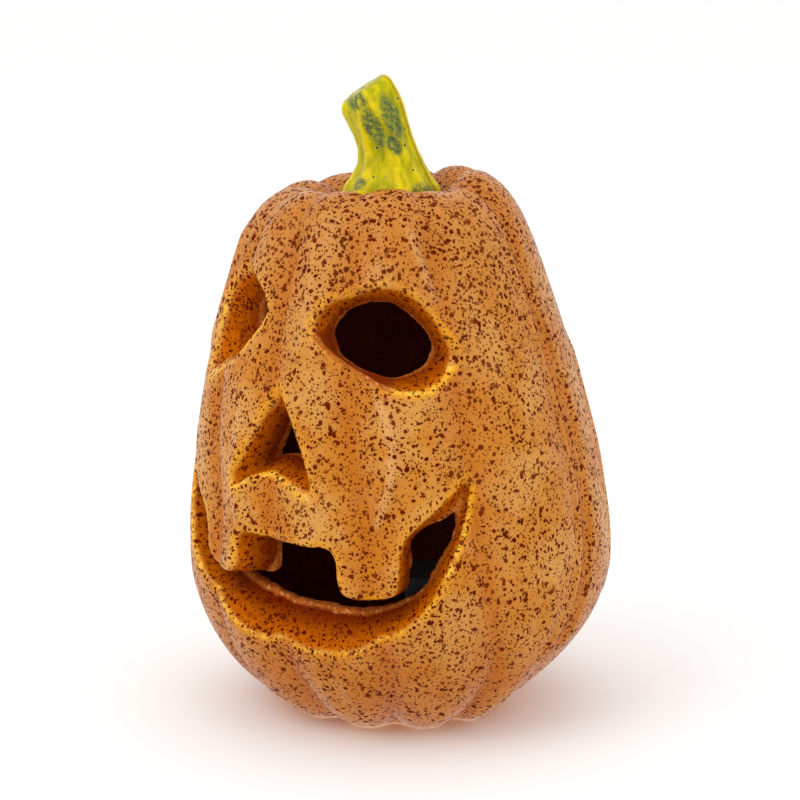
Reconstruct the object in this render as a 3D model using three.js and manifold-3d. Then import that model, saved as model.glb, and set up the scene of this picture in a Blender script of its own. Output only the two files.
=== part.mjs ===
// Ceramic pumpkin lantern with a carved face, a luted-on stem and a plug-in battery light.
// Millimetres, +Z up, the face looks along -Y. Pieces are made round the plug's upright axis,
// and the finished group is moved so that its bounding box is centred over the origin.

import * as THREE from 'three';
import { mergeVertices } from 'three/addons/utils/BufferGeometryUtils.js';
import Module from 'manifold-3d';

const wasm = await Module();
wasm.setup();

// ---- driving dimensions -------------------------------------------------------------------

const WALL = 5; // thickness of the casting
const GAP = 0.3; // clearance between neighbouring pieces

const CROWN_HEIGHT = 200;
const CROWN_FLOOR = 21; // radius of the level floor under the stem

// Half section of the casting, outside: [radius, height], from the base recess to the crown.
const BODY_PROFILE = [
  [33, 6], [34.5, 0.5], [36, -1], [40.5, -1], [46.5, 1.5], [53, 5.5], [62, 13.5], [72, 25.5], [79.5, 38.5],
  [84.2, 55], [84.5, 75], [81.8, 100], [77.2, 125], [70.8, 150], [64, 172], [59.2, 186], [54.5, 196.5],
  [48, 205], [40, 210], [34, 211], [28, 208.5], [23, 203], [CROWN_FLOOR, 201],
];
// Half section of the hollow inside it.
const CAVITY_PROFILE = [
  [36, 11], [49, 11.5], [58, 18], [67, 28.5], [75, 41], [79.3, 57], [79.5, 75], [76.8, 100], [72.2, 125],
  [65.8, 150], [59, 172], [54, 184], [48.5, 194], [41, 202.5], [34, 205], [27, 201], [20, 195.5],
];
const BODY_AROUND = 80; // facets round the casting
const CAVITY_AROUND = 40;
const TURNED_AROUND = 36; // facets round the light unit's large turned pieces

// Ribs: each groove's direction in degrees from the face towards +X, at the crown, belly and foot.
const GROOVES = [
  [-140, -140, -143], [-99, -97, -101], [-64, -59, -66], [-34, -25, -31], [-6, -2, -1], [21, 25, 32],
  [53, 58, 64], [94, 97, 87], [141, 140, 141], [181, 181, 181],
];
const GROOVE_DEPTH = 2.8;
const GROOVE_SHARPNESS = 2.6; // power of the rib section: 2 is a soft wave, more is a narrower groove
const GROOVE_FOOT = 25; // below this height the grooves reach their foot directions
const GROOVE_TOP = 150; // and above this one their crown directions
const LEAN = [-5.5, -2.5]; // sideways offset of the axis at the crown
const LEAN_START = 60; // height where the lean begins
const CROWN_TILT = 0.07; // slope of the crown, down towards the lean

// Face openings. Directions in degrees from the face centre, heights in mm, on the outer surface.
const EYE = {
  centre: 33.5, height: 155, halfWidth: 21, reachUp: 23, reachDown: 14, slope: -0.25,
  depth: 15, insetSide: 2.2, insetEdge: 5.5, innerShift: -1.7,
};
const NOSE = {
  centre: -3, apex: 139.5, base: 101.5, arch: 5.5, halfWidth: 13,
  depth: 17, insetSide: 3.2, insetEdge: 7,
};
const MOUTH = {
  centre: 1.5, halfWidth: 54, corner: 109, chin: 39, lip: 84,
  depth: 20, cornerDepth: 9, insetSide: 2, insetLow: 16, insetUp: 1, insetCorner: 15,
};
const TOOTH = { inner: 17, outer: 31, tip: 65.5, widening: 4.5, taper: 0.9 };
const CUT_OUT = 11; // how far the openings' cutters reach out of the surface
const CUT_IN = 9; // and past the recess floor

const BASE_HOLE = 28;

// Stem: [height, radius], and its sideways bend.
const STEM_FOOT = 201 + GAP;
const STEM_STATIONS = [
  [0, 19.4], [0.1, 18.4], [0.25, 14.8], [0.4, 12.4], [0.55, 11.6], [0.7, 11.9], [0.85, 12.4],
  [0.95, 12.2], [1, 11],
];
const STEM_HEIGHT = 47;
const STEM_BEND = 8.5; // how far the top leans out of line
const STEM_BEND_DIRECTION = THREE.MathUtils.degToRad(214.5);
const STEM_TOP_TILT = THREE.MathUtils.degToRad(34);
const STEM_RIDGES = 6;
const STEM_AROUND = 36;

// Light unit, in its own turned frame.
const UNIT_TURN = THREE.MathUtils.degToRad(35);
const PLUG = { flange: 32, low: 1.2, high: 5.7, barrel: 25.4, barrelInner: 23.2, barrelTop: 13 };
const SEAL = { inner: PLUG.barrel + GAP, outer: BASE_HOLE - GAP, low: 6.3, high: 10.7 };
const BOX = { x: [1.5, 16.5], y: [-13.5, 13.5], top: 52.4, wall: 1.5 };
const CELL = { radius: 5.2, low: 3.7, length: 44.5, button: 1.9, buttonLength: 0.9, x: 9, y: 5.7 };
const DOOR = { x: [2, 16], y: [-12.9, 12.5], low: 1.2, high: 2.6, barrel: 1.05, axisZ: 2.3, pin: 0.5 };
const CONTACT = { bridge: [2.9, 3.4], top: [50, 50.6] };
const BOARD = { x: [-20, -0.8], halfWidth: 12.5, low: 14, high: 15.6 };
const DOME = { x: -9.5, radius: 9, wall: 1.2, height: 18 };
const SWITCH = { x: -12, halfWidth: 4, halfLength: 4.6, top: 11, travel: 3 };
const BOX_SCREW = { y: 17.1, head: 1.9, shank: 0.95, low: 1.6, top: 8.6 };
const BOARD_SCREW = { x: -16, y: 10, head: 2, shank: 0.9, top: 17 };

const FINISH = {
  glaze: { color: 0xc8772d, roughness: 0.32, metalness: 0 },
  stemGlaze: { color: 0xb0b02a, roughness: 0.35, metalness: 0 },
  housing: { color: 0x4a4744, roughness: 0.55, metalness: 0 },
  blackPlastic: { color: 0x1c1c1c, roughness: 0.5, metalness: 0 },
  rubber: { color: 0x26231f, roughness: 0.85, metalness: 0 },
  steel: { color: 0xb9bcc0, roughness: 0.3, metalness: 1 },
  brass: { color: 0xc9a34e, roughness: 0.3, metalness: 1 },
  board: { color: 0x1f5a36, roughness: 0.6, metalness: 0 },
  ledResin: { color: 0xffd9a0, roughness: 0.2, metalness: 0 },
  frosted: { color: 0xf2e6cf, roughness: 0.6, metalness: 0 },
  cellSleeve: { color: 0x2f5c8a, roughness: 0.4, metalness: 0 },
  wireRed: { color: 0xa8201a, roughness: 0.5, metalness: 0 },
  wireBlack: { color: 0x141414, roughness: 0.5, metalness: 0 },
};

// ---- solids -------------------------------------------------------------------------------

function signedVolume(position, index) {
  const corner = [new THREE.Vector3(), new THREE.Vector3(), new THREE.Vector3()];
  let volume = 0;
  for (let i = 0; i < index.length; i += 3) {
    corner.forEach((v, k) => v.fromArray(position, index[i + k] * 3));
    volume += corner[0].dot(corner[1].cross(corner[2])) / 6;
  }
  return volume;
}

/** A manifold solid from a closed three.js geometry. */
function solid(geometry) {
  const bare = geometry.clone();
  bare.deleteAttribute('normal');
  bare.deleteAttribute('uv');
  const merged = mergeVertices(bare, 1e-4);
  const triangles = [];
  const source = merged.index.array;
  for (let i = 0; i < source.length; i += 3) {
    const [a, b, c] = [source[i], source[i + 1], source[i + 2]];
    if (a !== b && b !== c && c !== a) triangles.push(a, b, c);
  }
  const position = merged.attributes.position.array;
  if (signedVolume(position, triangles) < 0) triangles.reverse();
  return new wasm.Manifold(new wasm.Mesh({
    numProp: 3,
    vertProperties: new Float32Array(position),
    triVerts: new Uint32Array(triangles),
  }));
}

function geometryOf(manifold) {
  const result = manifold.getMesh();
  const geometry = new THREE.BufferGeometry();
  geometry.setAttribute('position', new THREE.BufferAttribute(new Float32Array(result.vertProperties), 3));
  geometry.setIndex(new THREE.BufferAttribute(new Uint32Array(result.triVerts), 1));
  geometry.computeVertexNormals();
  return geometry;
}

/** Joins loops of points with quads. The end loops are closed round their centres, or with capQuads. */
function skin(loops, capQuads = null) {
  const count = loops[0].length;
  const points = loops.flat();
  const index = [];
  const quad = (a, b, c, d) => index.push(a, b, c, a, c, d);
  for (let i = 0; i < loops.length - 1; i++) {
    for (let j = 0; j < count; j++) {
      const next = (j + 1) % count;
      quad(i * count + j, i * count + next, (i + 1) * count + next, (i + 1) * count + j);
    }
  }
  const last = (loops.length - 1) * count;
  if (capQuads) {
    for (const [a, b, c, d] of capQuads) {
      quad(d, c, b, a);
      quad(last + a, last + b, last + c, last + d);
    }
  } else {
    for (const [loop, start, flip] of [[loops[0], 0, true], [loops.at(-1), last, false]]) {
      const centre = loop.reduce((sum, p) => sum.add(p), new THREE.Vector3()).divideScalar(count);
      points.push(centre);
      for (let j = 0; j < count; j++) {
        const [a, b] = [start + j, start + (j + 1) % count];
        index.push(...(flip ? [points.length - 1, b, a] : [points.length - 1, a, b]));
      }
    }
  }
  const geometry = new THREE.BufferGeometry().setFromPoints(points);
  geometry.setIndex(index);
  return solid(geometry);
}

function block([x0, x1], [y0, y1], [z0, z1]) {
  const geometry = new THREE.BoxGeometry(x1 - x0, y1 - y0, z1 - z0);
  return solid(geometry.translate((x0 + x1) / 2, (y0 + y1) / 2, (z0 + z1) / 2));
}

function cylinder(radius, [low, high], x = 0, y = 0, around = 24) {
  const geometry = new THREE.CylinderGeometry(radius, radius, high - low, around);
  return solid(geometry.rotateX(Math.PI / 2).translate(x, y, (low + high) / 2));
}

/** A cylinder that lies along X. */
function rod(radius, [x0, x1], y, z, around = 16) {
  const geometry = new THREE.CylinderGeometry(radius, radius, x1 - x0, around);
  return solid(geometry.rotateZ(Math.PI / 2).translate((x0 + x1) / 2, y, z));
}

/** A turned piece: outline points [radius, height] that start and end on the axis or close on themselves. */
function turned(outline, x = 0, y = 0, around = 32) {
  const points = outline.map(([radius, height]) => new THREE.Vector2(radius, height));
  return solid(new THREE.LatheGeometry(points, around).rotateX(Math.PI / 2).translate(x, y, 0));
}

function wire(points, radius, steps) {
  const path = new THREE.CatmullRomCurve3(points.map((p) => new THREE.Vector3(...p)));
  const section = new THREE.Shape().absarc(0, 0, radius, 0, 2 * Math.PI);
  return new THREE.ExtrudeGeometry(section, { steps, extrudePath: path, curveSegments: 3 });
}

// ---- casting ------------------------------------------------------------------------------

const smoothstep = THREE.MathUtils.smoothstep;
const lerp = THREE.MathUtils.lerp;
const radians = THREE.MathUtils.degToRad;

/** A point at a direction (degrees from the face), a radius and a height, on the leaning axis. */
function place(direction, radius, height) {
  const share = Math.pow(Math.max(0, (height - LEAN_START) / (CROWN_HEIGHT - LEAN_START)), 1.3);
  const x = radius * Math.sin(radians(direction));
  const y = -radius * Math.cos(radians(direction));
  const towardsLean = (x * LEAN[0] + y * LEAN[1]) / Math.hypot(...LEAN);
  return new THREE.Vector3(
    x + LEAN[0] * share,
    y + LEAN[1] * share,
    height - CROWN_TILT * share ** 3 * towardsLean * smoothstep(radius, CROWN_FLOOR, CROWN_FLOOR + 11),
  );
}

/** 0 on the crest of a rib, 1 in the groove beside it. */
function grooveShare(direction, height) {
  const nearFoot = 1 - smoothstep(height, GROOVE_FOOT, GROOVE_FOOT * 3);
  const nearTop = smoothstep(height, GROOVE_TOP / 2, GROOVE_TOP);
  const grooves = GROOVES.map(([crown, belly, foot]) => lerp(lerp(belly, foot, nearFoot), crown, nearTop));
  const turnedTo = THREE.MathUtils.euclideanModulo(direction - grooves[0], 360) + grooves[0];
  let after = grooves.findIndex((groove) => groove > turnedTo);
  const end = after < 0 ? grooves[0] + 360 : grooves[after];
  const start = after < 0 ? grooves.at(-1) : grooves[after - 1];
  const across = (2 * (turnedTo - start)) / (end - start) - 1;
  return Math.pow(Math.abs(across), GROOVE_SHARPNESS);
}

/** The ribs fade out towards the middle of the crown and inside the foot ring. */
function ribFade(radius, height) {
  return height > CROWN_HEIGHT / 2 ? smoothstep(radius, 22, 34) : smoothstep(radius, 38, 47);
}

/** The ribbed surface of revolution that a half section sweeps. */
function ribbedSolid(profile, around) {
  const tangents = profile.map((_, i) => {
    const [before, next] = [profile[Math.max(i - 1, 0)], profile[Math.min(i + 1, profile.length - 1)]];
    return new THREE.Vector2(next[0] - before[0], next[1] - before[1]).normalize();
  });
  const loops = profile.map(([radius, height], i) => {
    const ribbed = ribFade(radius, height);
    const loop = [];
    for (let j = 0; j < around; j++) {
      const direction = (360 * j) / around;
      const sink = GROOVE_DEPTH * ribbed * grooveShare(direction, height);
      loop.push(place(direction, radius - tangents[i].y * sink, height + tangents[i].x * sink));
    }
    return loop;
  });
  return skin(loops);
}

/** Radius of the outer half section at a height on the side of the body. */
function sideRadius(height) {
  const side = BODY_PROFILE.slice(4, 19);
  const above = Math.max(1, side.findIndex((point) => point[1] > height));
  const [low, high] = [side[above - 1], side[above]];
  return lerp(low[0], high[0], (height - low[1]) / (high[1] - low[1]));
}

/**
 * A solid through the wall from stations across an opening. Each station holds the outer and the
 * inner outline: {direction, low, high} on the surface and on the recess floor at depth.
 */
function openingSolid(stations, outside, inside) {
  const loops = stations.map(({ outer, inner, depth }) => {
    const side = (edge) => {
      const at = (share, radiusShift) => place(
        lerp(outer.direction, inner.direction, share),
        sideRadius(lerp(outer[edge], inner[edge], Math.min(Math.max(share, 0), 1))) + radiusShift,
        lerp(outer[edge], inner[edge], share),
      );
      const points = [at(-outside / depth, outside), at(0, 0), at(1, -depth)];
      if (inside > 0) points.push(at(1, -depth - inside));
      return points;
    };
    return [...side('high'), ...side('low').reverse()];
  });
  const rings = loops[0].length / 2;
  const capQuads = [];
  for (let k = 0; k < rings - 1; k++) capQuads.push([k, k + 1, 2 * rings - 2 - k, 2 * rings - 1 - k]);
  return skin(loops, capQuads);
}

/** The same stations grown by the wall thickness, for the return wall of a recess. */
function thickened(stations) {
  return stations.map((station, i) => {
    const across = (2 * i) / (stations.length - 1) - 1;
    const grow = (edge) => ({
      direction: edge.direction + Math.sign(across) * (Math.abs(across) > 0.6 ? 1 : 0)
        * THREE.MathUtils.radToDeg(WALL / sideRadius(edge.low)),
      low: edge.low - WALL,
      high: edge.high + WALL,
    });
    return { outer: grow(station.outer), inner: grow(station.inner), depth: station.depth };
  });
}

const MIN_SLIT = 1; // height that an opening keeps at its ends

function eyeStations(side) {
  const count = 16;
  const at = (angle, shift, insetSide, insetEdge) => {
    const offset = shift - (EYE.halfWidth - insetSide) * Math.cos(angle);
    const middle = EYE.height + EYE.slope * offset;
    return {
      direction: side * (EYE.centre + offset),
      low: middle - Math.max((EYE.reachDown - insetEdge) * Math.sin(angle), MIN_SLIT / 2),
      high: middle + Math.max((EYE.reachUp - insetEdge) * Math.sin(angle), MIN_SLIT / 2),
    };
  };
  return Array.from({ length: count + 1 }, (_, i) => {
    const angle = (Math.PI * i) / count;
    return {
      outer: at(angle, 0, 0, 0),
      inner: at(angle, EYE.innerShift, EYE.insetSide, EYE.insetEdge),
      depth: EYE.depth,
    };
  });
}

function noseStations() {
  const count = 12;
  const at = (across, halfWidth, apex, base) => {
    const low = base + NOSE.arch * (1 - across * across);
    const high = lerp(apex, base, Math.abs(across));
    return { direction: NOSE.centre + halfWidth * across, low, high: Math.max(high, low + MIN_SLIT) };
  };
  return Array.from({ length: count + 1 }, (_, i) => {
    const across = (2 * i) / count - 1;
    return {
      outer: at(across, NOSE.halfWidth, NOSE.apex, NOSE.base),
      inner: at(
        across, NOSE.halfWidth - NOSE.insetSide, NOSE.apex - NOSE.insetEdge * 1.6, NOSE.base + NOSE.insetEdge,
      ),
      depth: NOSE.depth,
    };
  });
}

const LIP_ARCH = 1.5; // rise of the upper lip between the teeth

/** Height of the lower lip and of the upper lip (without teeth) at a direction. */
function mouthEdges(direction) {
  const across = Math.min(1, Math.abs((direction - MOUTH.centre) / MOUTH.halfWidth));
  const rise = 1 - Math.sqrt(1 - Math.pow(across, 2.6));
  const low = lerp(MOUTH.chin, MOUTH.corner - MIN_SLIT, rise);
  const toCorner = smoothstep(across, 0.5, 1.05);
  const high = lerp(MOUTH.lip - LIP_ARCH * smoothstep(across, 0, 0.35), MOUTH.corner, toCorner);
  return { across, low, high };
}

function mouthStations(withTeeth) {
  const { inner, outer, taper } = TOOTH; // taper: half width of a tooth's sloping side
  const toothSides = withTeeth
    ? [-outer, -inner, inner, outer].flatMap((at) => [at - taper, at + taper])
    : [];
  const even = Array.from({ length: 31 }, (_, i) => lerp(-1, 1, i / 30) * MOUTH.halfWidth);
  const clear = even.filter((at) => toothSides.every((side) => Math.abs(side - at) > 0.6));
  const offsets = [...clear, ...toothSides].sort((a, b) => a - b);
  return offsets.map((offset) => {
    const distance = Math.abs(offset);
    const inTooth = withTeeth && distance > inner && distance < outer;
    const direction = MOUTH.centre + offset;
    const { across, low, high } = mouthEdges(direction);
    const shrink = 1 - MOUTH.insetSide / MOUTH.halfWidth;
    const rimDrop = lerp(MOUTH.insetUp, MOUTH.insetCorner, smoothstep(across, 0.65, 0.97));
    const lipRise = MOUTH.insetLow * (1 - smoothstep(across, 0.35, 0.92));
    const lowInner = Math.min(low + lipRise, high - rimDrop - MIN_SLIT);
    const highInner = Math.max(high - rimDrop, lowInner + MIN_SLIT);
    const widen = withTeeth ? TOOTH.widening * toothSlide(distance, inner, outer) * Math.sign(offset) : 0;
    return {
      outer: { direction, low, high: inTooth ? TOOTH.tip : high },
      inner: {
        direction: MOUTH.centre + offset * shrink + widen,
        low: lowInner,
        high: inTooth ? Math.max(TOOTH.tip - 3, lowInner + MIN_SLIT) : highInner,
      },
      depth: lerp(MOUTH.depth, MOUTH.cornerDepth, smoothstep(across, 0.55, 1)),
    };
  });
}

/** -1 at a tooth's inner side, +1 at its outer side, fading away from both. */
function toothSlide(distance, inner, outer) {
  const near = (at) => Math.max(0, 1 - Math.abs(distance - at) / 7);
  return near(outer) - near(inner);
}

function pumpkinBody() {
  const outside = ribbedSolid(BODY_PROFILE, BODY_AROUND);
  const openings = [eyeStations(-1), eyeStations(1), noseStations(), mouthStations(true)];
  const returns = [eyeStations(-1), eyeStations(1), noseStations(), mouthStations(false)].map(thickened);
  let shell = outside.subtract(ribbedSolid(CAVITY_PROFILE, CAVITY_AROUND));
  for (const stations of returns) shell = shell.add(openingSolid(stations, 3, 0).intersect(outside));
  for (const stations of openings) shell = shell.subtract(openingSolid(stations, CUT_OUT, CUT_IN));
  shell = shell.subtract(cylinder(BASE_HOLE, [-5, 20], 0, 0, TURNED_AROUND));
  return shell.subtract(block([-100, 100], [-100, 100], [-10, 0]));
}

// ---- stem ---------------------------------------------------------------------------------

function stem() {
  const lean = new THREE.Vector3(Math.cos(STEM_BEND_DIRECTION), Math.sin(STEM_BEND_DIRECTION), 0);
  const tiltAxis = new THREE.Vector3(0, 0, 1).cross(lean);
  const crown = place(0, 0, CROWN_HEIGHT);
  const loops = STEM_STATIONS.map(([share, radius]) => {
    const centre = new THREE.Vector3(crown.x, crown.y, STEM_FOOT + STEM_HEIGHT * share)
      .addScaledVector(lean, STEM_BEND * Math.pow(share, 2.2));
    const tilt = STEM_TOP_TILT * share * share;
    const ridge = lerp(0.1, 0.07, share);
    const loop = [];
    for (let j = 0; j < STEM_AROUND; j++) {
      const angle = (2 * Math.PI * j) / STEM_AROUND;
      const reach = radius * (1 + ridge * Math.cos(STEM_RIDGES * angle + 0.6 * share));
      loop.push(new THREE.Vector3(reach * Math.cos(angle), reach * Math.sin(angle), 0)
        .applyAxisAngle(tiltAxis, tilt).add(centre));
    }
    return loop;
  });
  return skin(loops);
}

// ---- light unit ---------------------------------------------------------------------------

function basePlug() {
  const top = PLUG.high;
  let plug = cylinder(PLUG.flange, [PLUG.low, top], 0, 0, TURNED_AROUND)
    .add(cylinder(PLUG.barrel, [top - 1, PLUG.barrelTop], 0, 0, TURNED_AROUND)
      .subtract(cylinder(PLUG.barrelInner, [top, PLUG.barrelTop + 1], 0, 0, TURNED_AROUND)));
  for (const side of [-1, 1]) {
    const post = cylinder(2.4, [top - 1, BOARD.low - GAP], BOARD_SCREW.x, side * BOARD_SCREW.y);
    plug = plug.add(post)
      .subtract(cylinder(BOARD_SCREW.shank + GAP, [7.5, 20], BOARD_SCREW.x, side * BOARD_SCREW.y, 12))
      .subtract(cylinder(BOX_SCREW.shank + GAP, [0, 8], CELL.x, side * BOX_SCREW.y, 12))
      .subtract(cylinder(BOX_SCREW.head + GAP, [0, BOX_SCREW.low + 1.3], CELL.x, side * BOX_SCREW.y));
  }
  const seatX = [DOOR.x[0] - GAP, DOOR.x[1] + GAP];
  const doorSeat = block(seatX, [DOOR.y[0], DOOR.y[1] + GAP], [0, DOOR.high + GAP]);
  const hingeChannel = block(seatX, [DOOR.y[0] - 2.1, DOOR.y[0] + 1], [0, DOOR.axisZ + 1.5]);
  const cellOpening = block([3, 15], [-11.5, 11.5], [0, 7]);
  const pinHole = rod(DOOR.pin + GAP, [DOOR.x[0] - 1.4, DOOR.x[1] + 1.4], DOOR.y[0], DOOR.axisZ);
  const switchSlot = block([SWITCH.x - 2, SWITCH.x + 2], [-3.6, 3.6], [0, 7]);
  for (const cut of [doorSeat, hingeChannel, cellOpening, pinHole, switchSlot]) plug = plug.subtract(cut);
  return plug;
}

function sealRing() {
  const { inner, outer, low, high } = SEAL;
  const waist = outer - 0.8;
  const lip = (high - low) / 4;
  return turned([
    [inner, low], [outer - 0.3, low], [outer, low + lip / 2], [waist, low + lip * 1.5],
    [waist, high - lip * 1.5], [outer, high - lip / 2], [outer - 0.3, high], [inner, high], [inner, low],
  ], 0, 0, TURNED_AROUND);
}

function batteryBox() {
  const low = PLUG.high + GAP;
  const { x, y, top, wall } = BOX;
  const section = new THREE.Shape();
  const corner = 1.6;
  section.moveTo(x[0] + corner, y[0]).lineTo(x[1] - corner, y[0])
    .absarc(x[1] - corner, y[0] + corner, corner, -Math.PI / 2, 0)
    .absarc(x[1] - corner, y[1] - corner, corner, 0, Math.PI / 2)
    .absarc(x[0] + corner, y[1] - corner, corner, Math.PI / 2, Math.PI)
    .absarc(x[0] + corner, y[0] + corner, corner, Math.PI, 1.5 * Math.PI);
  const extrusion = { depth: top - low, bevelEnabled: false, curveSegments: 4 };
  const outside = new THREE.ExtrudeGeometry(section, extrusion);
  let box = solid(outside.translate(0, 0, low));
  for (const side of [-1, 1]) {
    const lug = [side * (y[1] - 1), side * 19.6].sort((a, b) => a - b);
    box = box.add(block([CELL.x - 2.6, CELL.x + 2.6], lug, [low, 9.2]))
      .subtract(cylinder(BOX_SCREW.shank + GAP, [0, 20], CELL.x, side * BOX_SCREW.y, 12))
      .subtract(block(
        [x[0] - 1, x[0] + wall + 1],
        [side * CELL.y - 1.8, side * CELL.y + 1.8],
        [CONTACT.top[0] - GAP, CONTACT.top[1] + GAP],
      ));
  }
  return box.subtract(block([x[0] + wall, x[1] - wall], [y[0] + wall, y[1] - wall], [0, top - wall]));
}

function batteryDoor() {
  const hingeEnd = DOOR.y[0];
  const plate = block(DOOR.x, [hingeEnd, DOOR.y[1]], [DOOR.low, DOOR.high]);
  const barrel = rod(DOOR.barrel, DOOR.x, hingeEnd, DOOR.axisZ);
  const fingerNotch = cylinder(3, [0, DOOR.low + 0.7], CELL.x, DOOR.y[1] - 1);
  const bore = rod(DOOR.pin + GAP, [0, 20], hingeEnd, DOOR.axisZ);
  return plate.add(barrel).subtract(fingerNotch).subtract(bore);
}

/** An AAA cell, button up when up is 1. */
function cell(side, up) {
  const { radius, low, length, button, buttonLength } = CELL;
  const bodyLength = length - buttonLength;
  const outline = [
    [0, 0], [radius - 0.4, 0], [radius, 0.4], [radius, bodyLength - 0.4], [radius - 0.4, bodyLength],
    [button, bodyLength], [button, length], [0, length],
  ].map(([r, z]) => [r, up > 0 ? low + z : low + length - z]);
  return turned(outline, CELL.x, side * CELL.y, 20);
}

const SPRING_WIRE = 0.35;

function topContact(side, springy) {
  const y = side * CELL.y;
  const plate = block([BOX.x[0] + 0.2, 13], [y - 1.4, y + 1.4], CONTACT.top)
    .add(cylinder(4.2, CONTACT.top, CELL.x, y));
  const low = CELL.low + CELL.length + GAP;
  if (!springy) return plate.add(cylinder(3, [low, CONTACT.top[1]], CELL.x, y));
  const turns = 1.5;
  const helix = Array.from({ length: 15 }, (_, i) => {
    const share = i / 14;
    const angle = 2 * Math.PI * turns * share;
    const reach = lerp(2, 3.4, share);
    const height = lerp(low + SPRING_WIRE, CONTACT.top[0], share);
    return [CELL.x + reach * Math.cos(angle), y + reach * Math.sin(angle), height];
  });
  return plate.add(solid(wire(helix, SPRING_WIRE, 28)));
}

const bridgeContact = () => block([4, 14], [-10.4, 10.4], CONTACT.bridge);

function screw(x, y, { head, shank }, headAt, tipAt) {
  const up = Math.sign(headAt - tipAt);
  const outline = [
    [0, tipAt], [shank * 0.5, tipAt], [shank, tipAt + up], [shank, headAt - up * 1.1],
    [head, headAt - up * 1.1], [head, headAt - up * 0.4], [head * 0.7, headAt], [0, headAt],
  ];
  return turned(outline, x, y, 12);
}

const LED_SPOTS = [90, 210, 330].map((angle) => [
  DOME.x + 4.6 * Math.cos(radians(angle)),
  4.6 * Math.sin(radians(angle)),
]);
const LED_LEG = 1.27; // half the spacing of an LED's legs

function circuitBoard() {
  let board = block(BOARD.x, [-BOARD.halfWidth, BOARD.halfWidth], [BOARD.low, BOARD.high])
    .intersect(cylinder(PLUG.barrelInner - 0.6, [0, 30], 0, 0, TURNED_AROUND));
  for (const [x, y] of LED_SPOTS) {
    for (const leg of [-LED_LEG, LED_LEG]) board = board.subtract(cylinder(0.65, [10, 20], x, y + leg, 8));
  }
  for (const side of [-1, 1]) {
    const hole = cylinder(BOARD_SCREW.shank + GAP, [10, 20], BOARD_SCREW.x, side * BOARD_SCREW.y, 12);
    board = board.subtract(hole);
  }
  return board;
}

function led([x, y]) {
  const foot = BOARD.high + GAP;
  const dome = [
    [0, foot], [2.9, foot], [2.9, foot + 1], [2.5, foot + 1], [2.5, foot + 5.6],
    [2.2, foot + 6.9], [1.4, foot + 7.8], [0, foot + 8.1],
  ];
  let body = turned(dome, x, y, 12);
  for (const leg of [-LED_LEG, LED_LEG]) {
    body = body.add(block([x - 0.25, x + 0.25], [y + leg - 0.25, y + leg + 0.25], [BOARD.low - 1.6, foot + 1]));
  }
  return body;
}

/** A frosted dome over the LEDs, open below. */
function lightDome() {
  const foot = BOARD.high + GAP;
  const { radius, wall, height } = DOME;
  const arc = (size, top, steps) => Array.from({ length: steps + 1 }, (_, i) => {
    const angle = (Math.PI / 2) * (i / steps);
    return [size * Math.cos(angle), foot + (top - size) + size * Math.sin(angle)];
  });
  const outer = arc(radius, height, 5);
  const inner = arc(radius - wall, height - wall, 5).reverse();
  return turned([[radius, foot], ...outer, ...inner, [radius - wall, foot], [radius, foot]], DOME.x, 0, 24);
}

function switchBody() {
  const { x, halfWidth, halfLength, top } = SWITCH;
  return block([x - halfWidth, x + halfWidth], [-halfLength, halfLength], [PLUG.high + GAP, top])
    .subtract(block([x - 2, x + 2], [-3.6, 3.6], [0, 8.2]));
}

function switchKnob() {
  const { x, travel } = SWITCH;
  let knob = block([x - 1.6, x + 1.6], [-3.2, -3.2 + travel + 0.4], [0.5, 7.8]);
  for (const rib of [-2.4, -1.5, -0.6]) {
    knob = knob.subtract(block([x - 3, x + 3], [rib - 0.2, rib + 0.2], [0, 0.9]));
  }
  return knob;
}

function contactWire(side) {
  const y = side * CELL.y;
  return wire([
    [0.5, y, CONTACT.top[1]], [0.3, y, 44], [0.1, side * 6.6, 34], [-0.2, side * 8.4, 24],
    [-2, side * 9.6, 18.5], [-3, side * 9.8, 16.2],
  ], 0.6, 10);
}

// ---- assembly -----------------------------------------------------------------------------

function mesh(name, geometryOrSolid, finish) {
  const geometry = geometryOrSolid.isBufferGeometry ? geometryOrSolid : geometryOf(geometryOrSolid);
  const made = new THREE.Mesh(geometry, new THREE.MeshStandardMaterial(finish));
  made.name = name;
  return made;
}

const pumpkin = new THREE.Group();
pumpkin.add(mesh('pumpkin_body', pumpkinBody(), FINISH.glaze));
pumpkin.add(mesh('stem', stem(), FINISH.stemGlaze));

const unit = new THREE.Group();
unit.rotation.z = UNIT_TURN;
unit.add(
  mesh('base_plug', basePlug(), FINISH.blackPlastic),
  mesh('seal_ring', sealRing(), FINISH.rubber),
  mesh('battery_box', batteryBox(), FINISH.housing),
  mesh('battery_door', batteryDoor(), FINISH.blackPlastic),
  mesh('door_hinge_pin', rod(DOOR.pin, [DOOR.x[0] - 1.1, DOOR.x[1] + 1.1], DOOR.y[0], DOOR.axisZ), FINISH.steel),
  mesh('battery_1', cell(-1, -1), FINISH.cellSleeve),
  mesh('battery_2', cell(1, 1), FINISH.cellSleeve),
  mesh('bridge_contact', bridgeContact(), FINISH.brass),
  mesh('spring_contact', topContact(-1, true), FINISH.steel),
  mesh('plate_contact', topContact(1, false), FINISH.brass),
  mesh('circuit_board', circuitBoard(), FINISH.board),
  mesh('light_dome', lightDome(), FINISH.frosted),
  mesh('switch_body', switchBody(), FINISH.steel),
  mesh('switch_knob', switchKnob(), FINISH.blackPlastic),
  mesh('wire_red', contactWire(1), FINISH.wireRed),
  mesh('wire_black', contactWire(-1), FINISH.wireBlack),
);
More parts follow.
